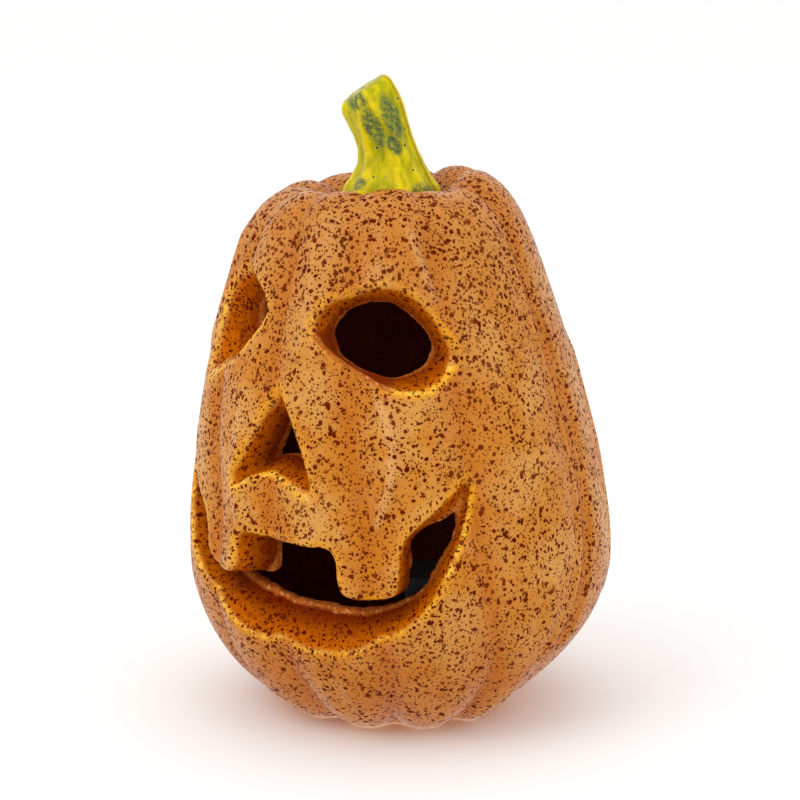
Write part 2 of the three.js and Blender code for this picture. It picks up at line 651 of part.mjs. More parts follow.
LED_SPOTS.forEach((spot, i) => unit.add(mesh(`led_${i + 1}`, led(spot), FINISH.ledResin)));
[-1, 1].forEach((side, i) => {
  const boxScrew = screw(CELL.x, side * BOX_SCREW.y, BOX_SCREW, BOX_SCREW.low, BOX_SCREW.top);
  const boardScrew = screw(BOARD_SCREW.x, side * BOARD_SCREW.y, BOARD_SCREW, BOARD_SCREW.top, 8.5);
  unit.add(mesh(`box_screw_${i + 1}`, boxScrew, FINISH.steel));
  unit.add(mesh(`board_screw_${i + 1}`, boardScrew, FINISH.steel));
});
pumpkin.add(unit);

const middle = new THREE.Box3().setFromObject(pumpkin, true).getCenter(new THREE.Vector3());
pumpkin.children.forEach((child) => child.position.sub(middle.setZ(0)));

export default pumpkin;
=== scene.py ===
"""Looks of the ceramic pumpkin lantern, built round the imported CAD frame.

Lengths inside the shape functions are millimetres; every mesh is made in metres.
Directions are degrees from the face centre (-Y) towards +X.
"""

import math

import bpy
import numpy as np
import openvdb
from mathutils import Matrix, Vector


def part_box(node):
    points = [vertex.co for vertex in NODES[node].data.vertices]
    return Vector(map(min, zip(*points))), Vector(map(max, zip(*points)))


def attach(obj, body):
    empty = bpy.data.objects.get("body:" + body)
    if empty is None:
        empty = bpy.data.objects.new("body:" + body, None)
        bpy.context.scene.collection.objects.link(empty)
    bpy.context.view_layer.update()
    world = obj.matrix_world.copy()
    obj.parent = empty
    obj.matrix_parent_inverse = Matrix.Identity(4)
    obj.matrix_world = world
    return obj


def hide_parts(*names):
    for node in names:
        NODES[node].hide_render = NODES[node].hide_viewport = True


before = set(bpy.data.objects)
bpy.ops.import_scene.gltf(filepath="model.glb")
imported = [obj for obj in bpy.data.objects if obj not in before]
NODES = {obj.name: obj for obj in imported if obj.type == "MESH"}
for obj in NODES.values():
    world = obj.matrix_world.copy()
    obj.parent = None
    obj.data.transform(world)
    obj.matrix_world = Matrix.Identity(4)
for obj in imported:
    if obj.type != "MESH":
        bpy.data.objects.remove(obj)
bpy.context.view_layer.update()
MM = 0.001

# ---- driving dimensions ----

# The plug's upright axis, which the casting and the stem are built round.
AXIS = np.array([(a + b) / 2 / MM for a, b in zip(*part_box("base_plug"))]) * (1, 1, 0)
CROWN_TOP = 213.0  # height that the glaze's height attribute counts as 1
WALL = 5.0
VOXEL, STEM_VOXEL = ((1.25, 0.55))

# Half section of the casting: radius and height, from the underside to the crown's floor.
PROFILE = [
    (0, 6), (30, 6), (33, 5.5), (34.6, 0.6), (36.5, -1), (40.5, -1), (47, 1.2), (54, 5.2), (63.2, 13.2),
    (72.6, 25), (79.5, 38.5), (84.2, 55), (84.5, 75), (81.6, 100), (77, 125), (70.6, 150), (63.6, 172),
    (58.8, 186), (54.2, 196.5), (48, 205), (40.5, 210), (34, 211), (28, 208.5), (23, 203), (19, 201),
    (0, 201),
]
# Ribs: groove directions at the crown, the belly and the foot, and each groove's depth.
GROOVES = [
    (-140, -140, -143, 3.4), (-99, -97, -101, 3.3), (-64, -59, -66, 3.2), (-34, -25, -31, 3.2),
    (-6, -2, -1, 3.1), (21, 25, 32, 3.2), (53, 58, 64, 3.3), (94, 97, 87, 2.8), (141, 140, 141, 3.4),
    (181, 181, 181, 3.6),
]
# Creases between the ribs: (height, direction) along each, then its half width and rise.
FOLDS = [
    ([(88, 27.6), (97, 30), (106, 32.4), (120, 33.6), (130, 32.4), (143, 28.6)], 2.4, 1.5),
    ([(98, 37.5), (118, 39), (138, 35.5)], 2.6, -0.7),
    ([(168, 52.4), (180, 48.8), (193, 45.3), (203, 43)], 2.6, 1.2),
    ([(30, 80), (57, 88), (77, 92.5), (93, 93.4), (123, 92.4), (157, 89.4), (192, 88)], 1.5, 1.1),
    ([(30, 92), (57, 98), (77, 101.6), (93, 102.4), (123, 101.4), (157, 99.4), (192, 100)], 1.5, 1.1),
    ([(150, 4), (172, 6.5), (190, 5), (204, 7)], 2.8, 0.8),
    ([(182, 30), (204, 29)], 2.6, -0.8),
    ([(10, 15), (30, 13), (42, 17)], 3.0, -0.8),
    ([(8, 48), (36, 46), (56, 50)], 3.0, -0.7),
    ([(40, 74), (80, 76), (120, 74)], 3.4, -0.5),
    ([(84, -12), (104, -16.5), (132, -15)], 2.6, 1.0),
    ([(146, -50), (180, -46), (200, -48)], 2.6, 1.0),
    ([(40, 122), (90, 118), (150, 121)], 3.0, 0.9),
    ([(60, 162), (110, 158), (180, 163)], 2.6, 1.0),
    ([(30, -120), (90, -118), (160, -121)], 2.8, 0.9),
    ([(70, -163), (130, -158), (190, -161)], 2.6, 1.0),
    ([(40, -82), (100, -78), (150, -81)], 3.0, -0.8),
]
FOLD_STRENGTH = 1.25
# Heights where the grooves leave their foot directions and reach their crown directions.
GROOVE_FOOT, GROOVE_TOP = 25.0, 150.0
GROOVE_SHARPNESS = 2.6
GROOVE_ROUNDING = 0.9
GROOVE_FOOT_DEEPER = 0.45
CAVITY_GROOVES = 0.8  # how much of the grooves' depth shows on the inside
# Radii between which the grooves come in on the crown and on the underside.
GROOVES_ON_CROWN, GROOVES_ON_UNDERSIDE = (20, 34), (34, 43)
# The crown's front is smoother: direction of its middle, half widths, heights, and by how much.
FRONT_TOWARDS, FRONT_REACH, FRONT_HEIGHTS, FRONT_SMOOTHER = 8, (38, 62), (190, 206), 0.55

LEAN = np.array([-5.5, -2.5])
LEAN_START, LEAN_EASE = 60.0, 1.3
CROWN_HEIGHT, CROWN_FLOOR, CROWN_SHOULDER = 200.0, 21.0, 11.0
CROWN_TILT = 0.07
# One rib sits lower beside the stem.
CROWN_DIP, CROWN_DIP_TOWARDS, CROWN_DIP_WIDTH, CROWN_DIP_SHOULDER = 3.0, 77, 16, 8.0
# The flank on one side is flatter: direction, width, and how far in it is, at the belly and at the foot.
FLANK_TOWARDS, FLANK_WIDTH, FLANK_BELLY, FLANK_FOOT = 126, 36, 1.7, 9.0
FLANK_LOW, FLANK_FOOT_HEIGHTS, FLANK_RADII = (10, 46), (-7, 7), (30, 44)

BASE_HOLE = 28.0
BASE_HOLE_MIDDLE, BASE_HOLE_REACH = 5.0, 12.0
# The glazed surface waves slowly; rims and cuts are ragged. Noise sizes and amounts in mm.
WAVES = [(46, 0.55), (21, 0.25)]
RAGGEDNESS = [(3.1, 1.0), (7.5, 1.1)]


# ---- small numeric tools ----

def ramp(x, low, high):
    """0 below low and 1 above high, smooth between."""
    t = np.clip((x - low) / (high - low), 0.0, 1.0)
    return t * t * (3.0 - 2.0 * t)


def lerp(a, b, t):
    return a + (b - a) * t


def smooth_max(a, b, radius):
    blend = np.maximum(radius - np.abs(a - b), 0.0) / radius
    return np.maximum(a, b) + blend * blend * radius * 0.25


def smooth_min(a, b, radius):
    return -smooth_max(-a, -b, radius)


def smooth_curve(points, per_span=8):
    """A centripetal Catmull-Rom curve through the points."""
    p = np.array(points, float)
    p = np.vstack([2 * p[0] - p[1], p, 2 * p[-1] - p[-2]])
    out = []
    for before, start, end, after in zip(p, p[1:], p[2:], p[3:]):
        d1, d2, d3 = (math.sqrt(max(np.linalg.norm(b - a), 1e-6))
                      for a, b in ((before, start), (start, end), (end, after)))
        m1 = ((start - before) / d1 - (end - before) / (d1 + d2) + (end - start) / d2) * d2
        m2 = ((end - start) / d2 - (after - start) / (d2 + d3) + (after - end) / d3) * d2
        for t in np.arange(per_span) / per_span:
            out.append((2 * t**3 - 3 * t**2 + 1) * start + (t**3 - 2 * t**2 + t) * m1
                       + (3 * t**2 - 2 * t**3) * end + (t**3 - t**2) * m2)
    return np.array(out + [p[-2]])


class Noise:
    """Smooth lattice noise between -1 and 1, with features about `size` mm wide."""

    CELLS = 32

    def __init__(self, seed, size):
        self.values = np.random.default_rng(seed).uniform(-1, 1, (self.CELLS,) * 3)
        self.size = size

    def __call__(self, points):
        q = points / self.size
        base = np.floor(q).astype(int)
        t = q - base
        t = t * t * (3 - 2 * t)
        total = 0.0
        for corner in range(8):
            step = np.array([corner & 1, corner >> 1 & 1, corner >> 2 & 1])
            cell = (base + step) % self.CELLS
            weight = np.prod(np.where(step, t, 1 - t), axis=-1)
            total = total + weight * self.values[cell[..., 0], cell[..., 1], cell[..., 2]]
        return total


class Layers:
    """A sum of noises, given as pairs of size and amount; the seeds count up from the first."""

    def __init__(self, first_seed, pairs):
        self.noises = [(Noise(first_seed + i, size), amount) for i, (size, amount) in enumerate(pairs)]

    def __call__(self, points):
        return sum(amount * noise(points) for noise, amount in self.noises)


class DistanceTable:
    """Signed distance to a closed 2-D outline, negative inside, looked up from a fine grid."""

    STEP = 0.5

    def __init__(self, outline, low, high, skip_axis=False, soften=0):
        self.low = np.array(low, float)
        count = [int((b - a) / self.STEP) + 1 for a, b in zip(low, high)]
        u, v = np.meshgrid(*(lo + self.STEP * np.arange(n) for lo, n in zip(low, count)), indexing="ij")
        nearest = np.full(u.shape, 1e9)
        inside = np.zeros(u.shape, bool)
        closed = np.vstack([outline, outline[:1]])
        for (u0, v0), (u1, v1) in zip(closed, closed[1:]):
            du, dv = u1 - u0, v1 - v0
            length = du * du + dv * dv
            if length < 1e-12:
                continue
            if not (skip_axis and u0 == 0 and u1 == 0):
                t = np.clip(((u - u0) * du + (v - v0) * dv) / length, 0, 1)
                nearest = np.minimum(nearest, (u - u0 - t * du) ** 2 + (v - v0 - t * dv) ** 2)
            if dv:
                inside ^= ((v0 > v) != (v1 > v)) & (u < u0 + (v - v0) * du / dv)
        self.table = np.where(inside, -1.0, 1.0) * np.sqrt(nearest)
        for _ in range(soften):
            padded = np.pad(self.table, 1, mode="edge")
            self.table = (padded[:-2, 1:-1] + padded[2:, 1:-1] + padded[1:-1, :-2] + padded[1:-1, 2:]
                          + 4 * padded[1:-1, 1:-1]) / 8

    def __call__(self, u, v):
        a = np.clip((u - self.low[0]) / self.STEP, 0, self.table.shape[0] - 1.001)
        b = np.clip((v - self.low[1]) / self.STEP, 0, self.table.shape[1] - 1.001)
        i, j = a.astype(int), b.astype(int)
        s, t = a - i, b - j
        table = self.table
        return ((table[i, j] * (1 - s) + table[i + 1, j] * s) * (1 - t)
                + (table[i, j + 1] * (1 - s) + table[i + 1, j + 1] * s) * t)


# ---- face openings ----

class Opening:
    """A moulded recess with drafted walls whose floor is cut out by hand.

    outer and inner are outlines of [direction, height]; scale turns degrees into mm on the wall.
    """

    FLOOR = 2.4  # thickness of the floor that the hole is cut from
    RETURN_WALL = 4.2
    AROUND = 14  # how far the distances are known beyond the outlines

    def __init__(self, outer, inner, scale, depth, ragged, corner_depth=None, reach=60, kept=0.0,
                 bead=0.12, sliced=False):
        self.scale = scale
        self.ragged = ragged
        self.kept = kept  # how far the floor is left standing in the raised corners
        self.bead = bead  # how far clay stands up along the cut
        self.sliced = sliced  # the walls without draft are bare cuts
        outer, inner = closed_curve(outer), closed_curve(inner)
        self.depth = depth
        self.corner_depth = corner_depth or depth  # the recess at its raised corners
        self.reach = reach  # degrees from the face centre to the corners
        stretch = np.array([scale, 1.0])
        outlines = np.vstack([outer, inner]) * stretch
        low, high = outlines.min(0) - self.AROUND, outlines.max(0) + self.AROUND
        self.outer = DistanceTable(outer * stretch, low, high, soften=1)
        self.inner = DistanceTable(inner * stretch, low, high, soften=1)

    def evaluate(self, direction, height, sink):
        """Distances to the drafted walls and to the hole, the depth, and where there is no draft."""
        in_corner = ramp(np.abs(direction), self.reach * 0.55, self.reach)
        depth = lerp(self.depth, self.corner_depth, in_corner)
        u = direction * self.scale
        share = np.clip(sink / depth, -0.35, 1.0)
        outer, inner = self.outer(u, height), self.inner(u, height)
        undrafted = 1 - ramp(inner - outer, 0.4, 2.6)
        by_rim = 1 - ramp(np.abs(outer), 2, 5)
        return lerp(outer, inner, share), inner, depth, undrafted * by_rim * self.sliced


def closed_curve(points, per_span=6):
    """A smooth closed curve through the points."""
    return smooth_curve(points[-2:] + points + points[:2], per_span)[per_span * 2:-per_span - 1]


EYE_RIM = [
    (8.6, 164.5), (12, 171.8), (19, 175.6), (27, 178), (36, 178), (44, 174.2), (50.8, 167),
    (55.8, 156.6), (55.4, 148.4), (50, 143), (41, 140.6), (33, 142.8), (25.5, 148), (17.5, 153.8),
    (11.6, 158.6),
]
EYE_HOLE = [
    (11, 162.4), (15, 167), (22, 170.4), (29, 171.6), (35, 170.9), (41, 168), (48.2, 161.2), (51, 154.6),
    (49, 149.3), (44.6, 145.9), (35.4, 143.6), (29.6, 144), (24, 145.6), (18.2, 148.6), (13.4, 152.8),
    (10.8, 157.6),
]
FAR_EYE_RIM = [
    (-12.4, 167.4), (-15.6, 174.2), (-21.5, 179), (-28, 182.4), (-35, 182.4), (-40, 177.6),
    (-42.4, 168.5), (-43, 158), (-44.6, 147), (-46.4, 138), (-40, 136.2), (-30, 142.6), (-22.5, 150),
    (-18, 156.4), (-14.2, 162),
]
FAR_EYE_HOLE = [
    (-17, 166), (-21, 170.5), (-28, 171.6), (-33.5, 170), (-37, 166.2), (-35.8, 160.5), (-31, 155.5),
    (-25, 154.5), (-20, 158), (-17, 162),
]
NOSE_RIM = [
    (-3.4, 142), (0.8, 134.5), (5.6, 123), (9.3, 111), (11, 104), (9.6, 101), (4, 105.2), (-3, 106.6),
    (-10, 105), (-15.2, 100.8), (-16.4, 103.2), (-13.8, 111), (-10.4, 121), (-6.6, 132),
]
NOSE_HOLE = [(-4.2, 127), (0, 120), (3.4, 110.6), (-1, 112.2), (-6, 112), (-11, 110), (-8.6, 118)]
MOUTH_RIM = [
    # lower lip, from the left corner to the right one
    (-52.6, 110), (-51.2, 98), (-46.6, 83), (-40.5, 70), (-33, 59.6), (-25, 52.4), (-15, 44.6), (-6, 41.2),
    (6, 40.2), (17, 40.4), (24.7, 42.6), (30.2, 46.6), (35.8, 52.4), (40.8, 60), (45.6, 70.4), (50.6, 84),
    (54.4, 98), (56.2, 112),
    # upper lip back to the left, round the two teeth
    (50, 105.6), (44.4, 98.2), (39.4, 92), (35.8, 86.8), (34.2, 79), (33.7, 71), (32.8, 66), (29.6, 64.4),
    (24.4, 63.8), (20, 65), (18.4, 69.5), (17.7, 78.5), (15.6, 82.4), (8, 82.9), (-2, 83.6), (-11.8, 83.5),
    (-14.2, 80.5), (-14.5, 72), (-16.3, 67.6), (-22, 66.2), (-27.6, 67.6), (-29.6, 72), (-30.4, 81),
    (-32.4, 87), (-37, 92.4), (-42.4, 99), (-48, 106.4),
]
MOUTH_HOLE = [
    (-51.4, 104), (-49, 92.6), (-45.4, 82), (-40, 70), (-33, 62.8), (-26, 60.2), (-17.6, 59.6), (-9.7, 57.6),
    (1.2, 56.4), (13, 55.6), (21.6, 55.2), (29.4, 56.8), (35, 59.4), (40, 63.2), (44.4, 70.4), (48.9, 81.5),
    (52.4, 92), (55, 105), (50.4, 97.4), (45.3, 91.2), (41, 87.8), (38.6, 84), (37.4, 75), (36.6, 66),
    (33, 62.4), (24, 61.6), (16, 63), (14.6, 70), (14.2, 78.5), (11, 81.6), (2, 82), (-7.5, 81.6),
    (-10, 78.5), (-10.4, 70), (-13, 65.8), (-22, 64.9), (-30, 66.6), (-33.4, 71), (-34, 79), (-36, 85),
    (-43, 91.6), (-47.4, 97),
]


# ---- casting as a solid function ----

class Solid:
    """A function of place that is negative in the material and positive outside it."""

    def gradient(self, points, step=0.35):
        parts = []
        for axis in range(3):
            shift = np.zeros(3)
            shift[axis] = step
            rise = self.evaluate(points + shift) - self.evaluate(points - shift)
            parts.append(rise / (2 * step))
        return np.stack(parts, axis=-1)


class Casting(Solid):
    """The hollow pumpkin with its ribs, its face and the hole in its base."""

    def __init__(self):
        section = smooth_curve(PROFILE)
        section[:, 0] = np.maximum(section[:, 0], 0)
        section[0, 0] = section[-1, 0] = 0
        self.profile = DistanceTable(section, (0, -12), (100, 226), skip_axis=True)
        self.openings = [
            Opening(EYE_RIM, EYE_HOLE, 1.2, 13.0, ragged=0.45, sliced=True),
            Opening(FAR_EYE_RIM, FAR_EYE_HOLE, 1.2, 13.0, ragged=0.6),
            Opening(NOSE_RIM, NOSE_HOLE, 1.36, 16.0, ragged=0.5),
            Opening(MOUTH_RIM, MOUTH_HOLE, 1.45, 18.0, ragged=0.7, corner_depth=8, reach=54, kept=2.2,
                    bead=0.55),
        ]
        self.waves = Layers(1, WAVES)
        self.ragged = Layers(3, RAGGEDNESS)

    def cylindrical(self, points):
        """Direction, radius and height in the upright, unleaning pumpkin."""
        x, y, z = points[..., 0], points[..., 1], points[..., 2]
        share = (np.maximum(z - LEAN_START, 0) / (CROWN_HEIGHT - LEAN_START)) ** LEAN_EASE
        x, y = x - LEAN[0] * share, y - LEAN[1] * share
        radius = np.hypot(x, y)
        along = (x * LEAN[0] + y * LEAN[1]) / np.linalg.norm(LEAN)
        shoulder = ramp(radius, CROWN_FLOOR, CROWN_FLOOR + CROWN_SHOULDER)
        height = z + CROWN_TILT * share**3 * along * shoulder
        direction = np.degrees(np.arctan2(x, -y))
        dip = np.exp(-((direction - CROWN_DIP_TOWARDS) / CROWN_DIP_WIDTH) ** 2)
        dip_shoulder = ramp(radius, CROWN_FLOOR, CROWN_FLOOR + CROWN_DIP_SHOULDER)
        height = height + CROWN_DIP * dip * share**3 * dip_shoulder
        return direction, radius, height

    def grooves(self, direction, radius, height):
        """Depth of the rib grooves, and 0 on a crest to 1 in a groove."""
        near_foot = 1 - ramp(height, GROOVE_FOOT, GROOVE_FOOT * 3)
        near_top = ramp(height, GROOVE_TOP / 2, GROOVE_TOP)
        sway = 1.1 * np.sin(height / 17.0) + 0.7 * np.sin(height / 9.5 + 1)
        at = [lerp(lerp(belly, foot, near_foot), top, near_top) + sway * math.cos(3 * i)
              for i, (top, belly, foot, _) in enumerate(GROOVES)]
        depths = [groove[3] for groove in GROOVES]
        at, depths = at + [at[0] + 360], depths + [depths[0]]
        angle = np.where(direction < at[0], direction + 360, direction)
        share, depth = np.zeros_like(height), np.zeros_like(height)
        for i in range(len(GROOVES)):
            width = at[i + 1] - at[i]
            t = (angle - at[i]) / width
            between = (t >= 0) & (t < 1)
            off_groove = np.minimum(t, 1 - t) * 2
            soft = GROOVE_ROUNDING / (np.maximum(radius, 20) * np.radians(width) / 2)
            nearness = 1 - (np.sqrt(off_groove**2 + soft**2) - soft)
            value = np.maximum(nearness, 0) ** GROOVE_SHARPNESS
            share = np.where(between, value, share)
            depth = np.where(between, lerp(depths[i], depths[i + 1], t), depth)
        fade = np.where(height > CROWN_HEIGHT / 2, ramp(radius, *GROOVES_ON_CROWN),
                        ramp(radius, *GROOVES_ON_UNDERSIDE))
        in_front = 1 - ramp(np.abs(direction - FRONT_TOWARDS), *FRONT_REACH)
        fade = fade * (1 - FRONT_SMOOTHER * in_front * ramp(height, *FRONT_HEIGHTS))
        deeper = 1 + GROOVE_FOOT_DEEPER * (1 - ramp(height, 6, GROOVE_FOOT * 2))
        return depth * deeper * share * fade, share * fade

    def folds(self, direction, radius, height):
        """Small modelled creases: how far they stand out of the ribs, in mm."""
        total = np.zeros_like(height)
        for path, width, rise in FOLDS:
            heights, directions = zip(*path)
            low, high = heights[0], heights[-1]
            along = ramp(height, low - 3, low + 8) * (1 - ramp(height, high - 8, high + 3))
            off = np.radians(direction - np.interp(height, heights, directions)) * radius
            total = total + FOLD_STRENGTH * rise * along * np.exp(-(off / width) ** 2)
        return total

    def flank(self, direction, radius, height):
        """How far in the flatter flank is, in mm."""
        flat = np.exp(-((direction - FLANK_TOWARDS) / FLANK_WIDTH) ** 2)
        low = (1 - ramp(height, *FLANK_LOW)) * ramp(height, *FLANK_FOOT_HEIGHTS)
        inward = FLANK_BELLY + (FLANK_FOOT - FLANK_BELLY) * low
        return flat * inward * ramp(radius, *FLANK_RADII)

    def around_opening(self, opening, direction, height, plain, outer, rough):
        """Distances to what one opening adds and takes away, and to the faces that this leaves."""
        sink = -plain
        wall, inner, depth, steep = opening.evaluate(direction, height, sink)
        edge = inner + 0.3 + opening.ragged * rough + opening.kept * ramp(height, 89, 96)
        thickness = opening.RETURN_WALL * (1 - 0.35 * np.clip(sink / depth, 0, 1))
        back = sink - depth - opening.FLOOR
        lining = smooth_max(np.maximum(wall - thickness, outer + 0.5), back, 1.5)
        raised = opening.bead * (1 + 0.35 * rough) * np.exp(-((edge - 0.9) / 0.9) ** 2)
        pocket = smooth_max(wall, sink - depth, 2.5) + raised
        hole = np.maximum(edge, -(sink - depth + 4))
        band = 2.4 * opening.bead * (1 - ramp(height, 62, 76))
        near_hole = np.maximum(np.abs(edge) - band, np.abs(sink - depth - 1.2) - 1.4 - 1.6 * band)
        near_rim = np.abs(outer) + np.abs(wall) - 0.9 + 4 * (1 - steep) + 0.6 * rough
        return dict(
            lining=lining, pocket=pocket, hole=hole, steep=steep, cut=np.minimum(near_hole, near_rim),
            wall=np.abs(wall) + np.maximum(sink - depth, 0) * 2,
            surface=np.minimum(np.abs(pocket), np.abs(hole)))

    def evaluate(self, points, detail=False):
        direction, radius, height = self.cylindrical(points)
        plain = self.profile(radius + self.flank(direction, radius, height), height)
        groove, share = self.grooves(direction, radius, height)
        uneven = self.waves(points) * ramp(height, 8, 20)
        outer = plain + groove - self.folds(direction, radius, height) + uneven
        cavity = plain + groove * CAVITY_GROOVES + WALL
        solid = smooth_max(outer, -cavity, 1.0)
        rough = self.ragged(points)
        face = [self.around_opening(opening, direction, height, plain, outer, rough)
                for opening in self.openings]
        for at in face:
            solid = smooth_min(solid, at["lining"], 1.5)
        for at in face:
            solid = smooth_max(solid, -at["pocket"], 2.2)
            solid = smooth_max(solid, -at["hole"], 0.5)
        base_hole = np.hypot(points[..., 0], points[..., 1]) - BASE_HOLE
        through_base = np.maximum(base_hole, np.abs(points[..., 2] - BASE_HOLE_MIDDLE) - BASE_HOLE_REACH)
        solid = smooth_max(solid, -through_base, 0.8)
        solid = smooth_max(solid, -points[..., 2], 0.6)
        if not detail:
            return solid
        nearest = {key: np.min([at[key] for at in face], axis=0) for key in ("wall", "cut", "surface")}
        return solid, dict(
            radius=radius, sink=-plain, share=share, outer=outer, wall=nearest["wall"],
            cut=nearest["cut"], surface=np.minimum(np.abs(outer), nearest["surface"]),
            steep=np.max([at["steep"] for at in face], axis=0),
            fold=self.folds(direction, radius, height))


BOX_MARGIN = 3.0
DRAW_PASSES = 3


def surface_mesh(solid, corners, voxel):
    """Quads on the zero surface of a solid function, drawn onto it exactly.

    corners are the lowest and highest corner in metres. The points come back in mm from AXIS.
    """
    low, high = (np.array(corner) / MM - AXIS for corner in corners)
    low, high = low - BOX_MARGIN, high + BOX_MARGIN
    counts = np.ceil((high - low) / voxel).astype(int) + 1
    axes = [low[k] + voxel * np.arange(counts[k]) for k in range(3)]
    field = np.empty(counts, np.float32)
    for k in range(counts[2]):
        x, y = np.meshgrid(axes[0], axes[1], indexing="ij")
        field[:, :, k] = solid.evaluate(np.stack([x, y, np.full_like(x, axes[2][k])], -1))
    grid = openvdb.FloatGrid(float(10 * voxel))
    grid.copyFromArray(field)
    points, quads = grid.convertToQuads(isovalue=0.0)
    points = np.asarray(points, float) * voxel + low
    for _ in range(DRAW_PASSES):
        value, slope = solid.evaluate(points), solid.gradient(points)
        length = np.maximum((slope**2).sum(-1), 0.25)
        move = -(value / length)[:, None] * slope
        size = np.linalg.norm(move, axis=1, keepdims=True)
        points += move * np.minimum(1, 0.5 * voxel / np.maximum(size, 1e-9))
    return points, np.asarray(quads, int)


# ---- Blender helpers ----

def mesh_object(name, points_mm, faces):
    mesh = bpy.data.meshes.new(name)
    points = (np.asarray(points_mm, float) + AXIS) * MM
    faces = np.asarray(faces, np.int32)
    mesh.vertices.add(len(points))
    mesh.vertices.foreach_set("co", points.astype(np.float32).ravel())
    corners = faces.shape[1]
    mesh.loops.add(faces.size)
    mesh.loops.foreach_set("vertex_index", faces.ravel())
    mesh.polygons.add(len(faces))
    mesh.polygons.foreach_set("loop_start", np.arange(0, faces.size, corners, dtype=np.int32))
    mesh.update(calc_edges=True)
    mesh.validate()
    mesh.shade_smooth()
    made = bpy.data.objects.new(name, mesh)
    bpy.context.scene.collection.objects.link(made)
    return made


def add_attribute(made, name, values):
    attribute = made.data.attributes.new(name, "FLOAT", "POINT")
    attribute.data.foreach_set("value", np.asarray(values, np.float32))


# ---- stem ----

STEM_FOOT = 201.3
STEM_HEIGHT = 47.0
STEM_BEND = 8.5
STEM_BEND_TOWARDS = math.radians(214.5)
STEM_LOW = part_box("stem")[0][2] / MM
# Radius at shares of the height, from the flared foot to the cut.
STEM_STATIONS = [(0, 18.2), (0.1, 18.5), (0.17, 17.6), (0.24, 15.4), (0.34, 13.0), (0.46, 11.8),
                 (0.58, 11.6), (0.72, 12.4), (0.85, 12.8), (0.95, 12.6), (1.1, 11.4)]
# Ridges: direction from +X at shares of the height, width in degrees, rise as a share of the radius,
# and the shares of the height between which they stand out.
STEM_RIDGES = [
    ([(0, -99), (0.5, -100), (0.75, -81), (1, -75)], 16, 0.15, -1, 2),
    ([(0, -37), (0.25, -43), (0.5, -50)], 13, 0.19, -1, 0.56),
    ([(0, -8), (0.2, -13), (0.45, -23)], 12, 0.13, -1, 0.5),
    ([(0.5, -24), (0.7, -40), (1, -65)], 13, 0.15, 0.52, 2),
    ([(0, 20), (1, 14)], 15, 0.12, -1, 2),
    ([(0, -150), (1, -132)], 17, 0.14, -1, 2),
    ([(0, 66), (1, 60)], 17, 0.13, -1, 2),
    ([(0, 112), (1, 118)], 18, 0.14, -1, 2),
    ([(0, 160), (1, 172)], 18, 0.14, -1, 2),
]
STEM_VALLEYS = 0.925  # the radius between the ridges, as a share of the station's
STEM_SEAM, STEM_SEAM_WIDTH, STEM_SEAM_RISE = 8.0, 0.75, 0.45
STEM_SLANT = math.radians(34)
STEM_WAVES = [(9, 0.35), (3.2, 0.16)]
# Dark green patches: share of the height, direction, and their size in those two measures.
STEM_PATCHES = [(0.66, -67, 0.16, 17), (0.74, -24, 0.17, 20), (0.9, -86, 0.09, 26), (0.08, -14, 0.12, 22),
                (0.04, -72, 0.07, 26), (0.52, -40, 0.08, 14), (0.6, 80, 0.2, 24), (0.15, 130, 0.1, 30),
                (0.2, -105, 0.05, 12)]


def turn_between(direction, other):
    """Degrees from the other direction to this one, between -180 and 180."""
    return (direction - other + 180) % 360 - 180


class Stem(Solid):
    """The stub of a pumpkin's stem: ridged, bent over and cut off at a slant."""

    def __init__(self):
        self.waves = Layers(11, STEM_WAVES)
        self.shares, self.radii = zip(*STEM_STATIONS)

    def around(self, points):
        """Share of the height, direction from the bent axis in degrees, and radius."""
        share = (points[..., 2] - STEM_FOOT) / STEM_HEIGHT
        bend = STEM_BEND * np.clip(share, 0, 1.2) ** 2 - 1.2 * np.sin(math.pi * np.clip(share, 0, 1))
        bend = bend - 2.4 * (1 - ramp(share, 0.3, 0.8))
        x = points[..., 0] - (LEAN[0] + bend * math.cos(STEM_BEND_TOWARDS))
        y = points[..., 1] - (LEAN[1] + bend * math.sin(STEM_BEND_TOWARDS))
        return share, np.degrees(np.arctan2(y, x)), np.hypot(x, y)

    def ridge(self, share, direction):
        """Rise of the ridges as a share of the radius."""
        ridge = np.zeros_like(share)
        for path, width, rise, start, end in STEM_RIDGES:
            off = turn_between(direction, np.interp(share, *zip(*path)))
            begun = ramp(share, start - 0.1, start + 0.1)
            shown = begun * (1 - ramp(share, end - 0.1, end + 0.1))
            ridge = np.maximum(ridge, rise * shown * np.exp(-np.abs(off / width) ** 1.7))
        return ridge

    def evaluate(self, points, detail=False):
        share, direction, radius = self.around(points)
        ridge = self.ridge(share, direction)
        flare = 1 - ramp(share, 0, 0.3)
        outline = np.interp(share, self.shares, self.radii) * (STEM_VALLEYS + ridge * (0.85 + 0.5 * flare))
        seam_off = np.radians(turn_between(direction, STEM_SEAM)) * radius
        seam = np.exp(-(seam_off / STEM_SEAM_WIDTH) ** 2)
        side = radius - outline - self.waves(points) - STEM_SEAM_RISE * seam
        top = STEM_FOOT + STEM_HEIGHT - 1.0
        leaning = ((points[..., 0] - LEAN[0]) * math.cos(STEM_BEND_TOWARDS)
                   + (points[..., 1] - LEAN[1]) * math.sin(STEM_BEND_TOWARDS))
        cut = (points[..., 2] - top) * math.cos(STEM_SLANT) + (leaning - STEM_BEND) * math.sin(STEM_SLANT)
        hollow = 0.9 * np.exp(-(radius / 6.0) ** 2)
        solid = smooth_max(side, cut + hollow, 5.0)
        solid = smooth_max(solid, STEM_LOW + 0.05 - points[..., 2], 0.4)
        if detail:
            return solid, dict(share=share, direction=direction, ridge=ridge, seam=seam, cut=cut)
        return solid


# ---- materials ----

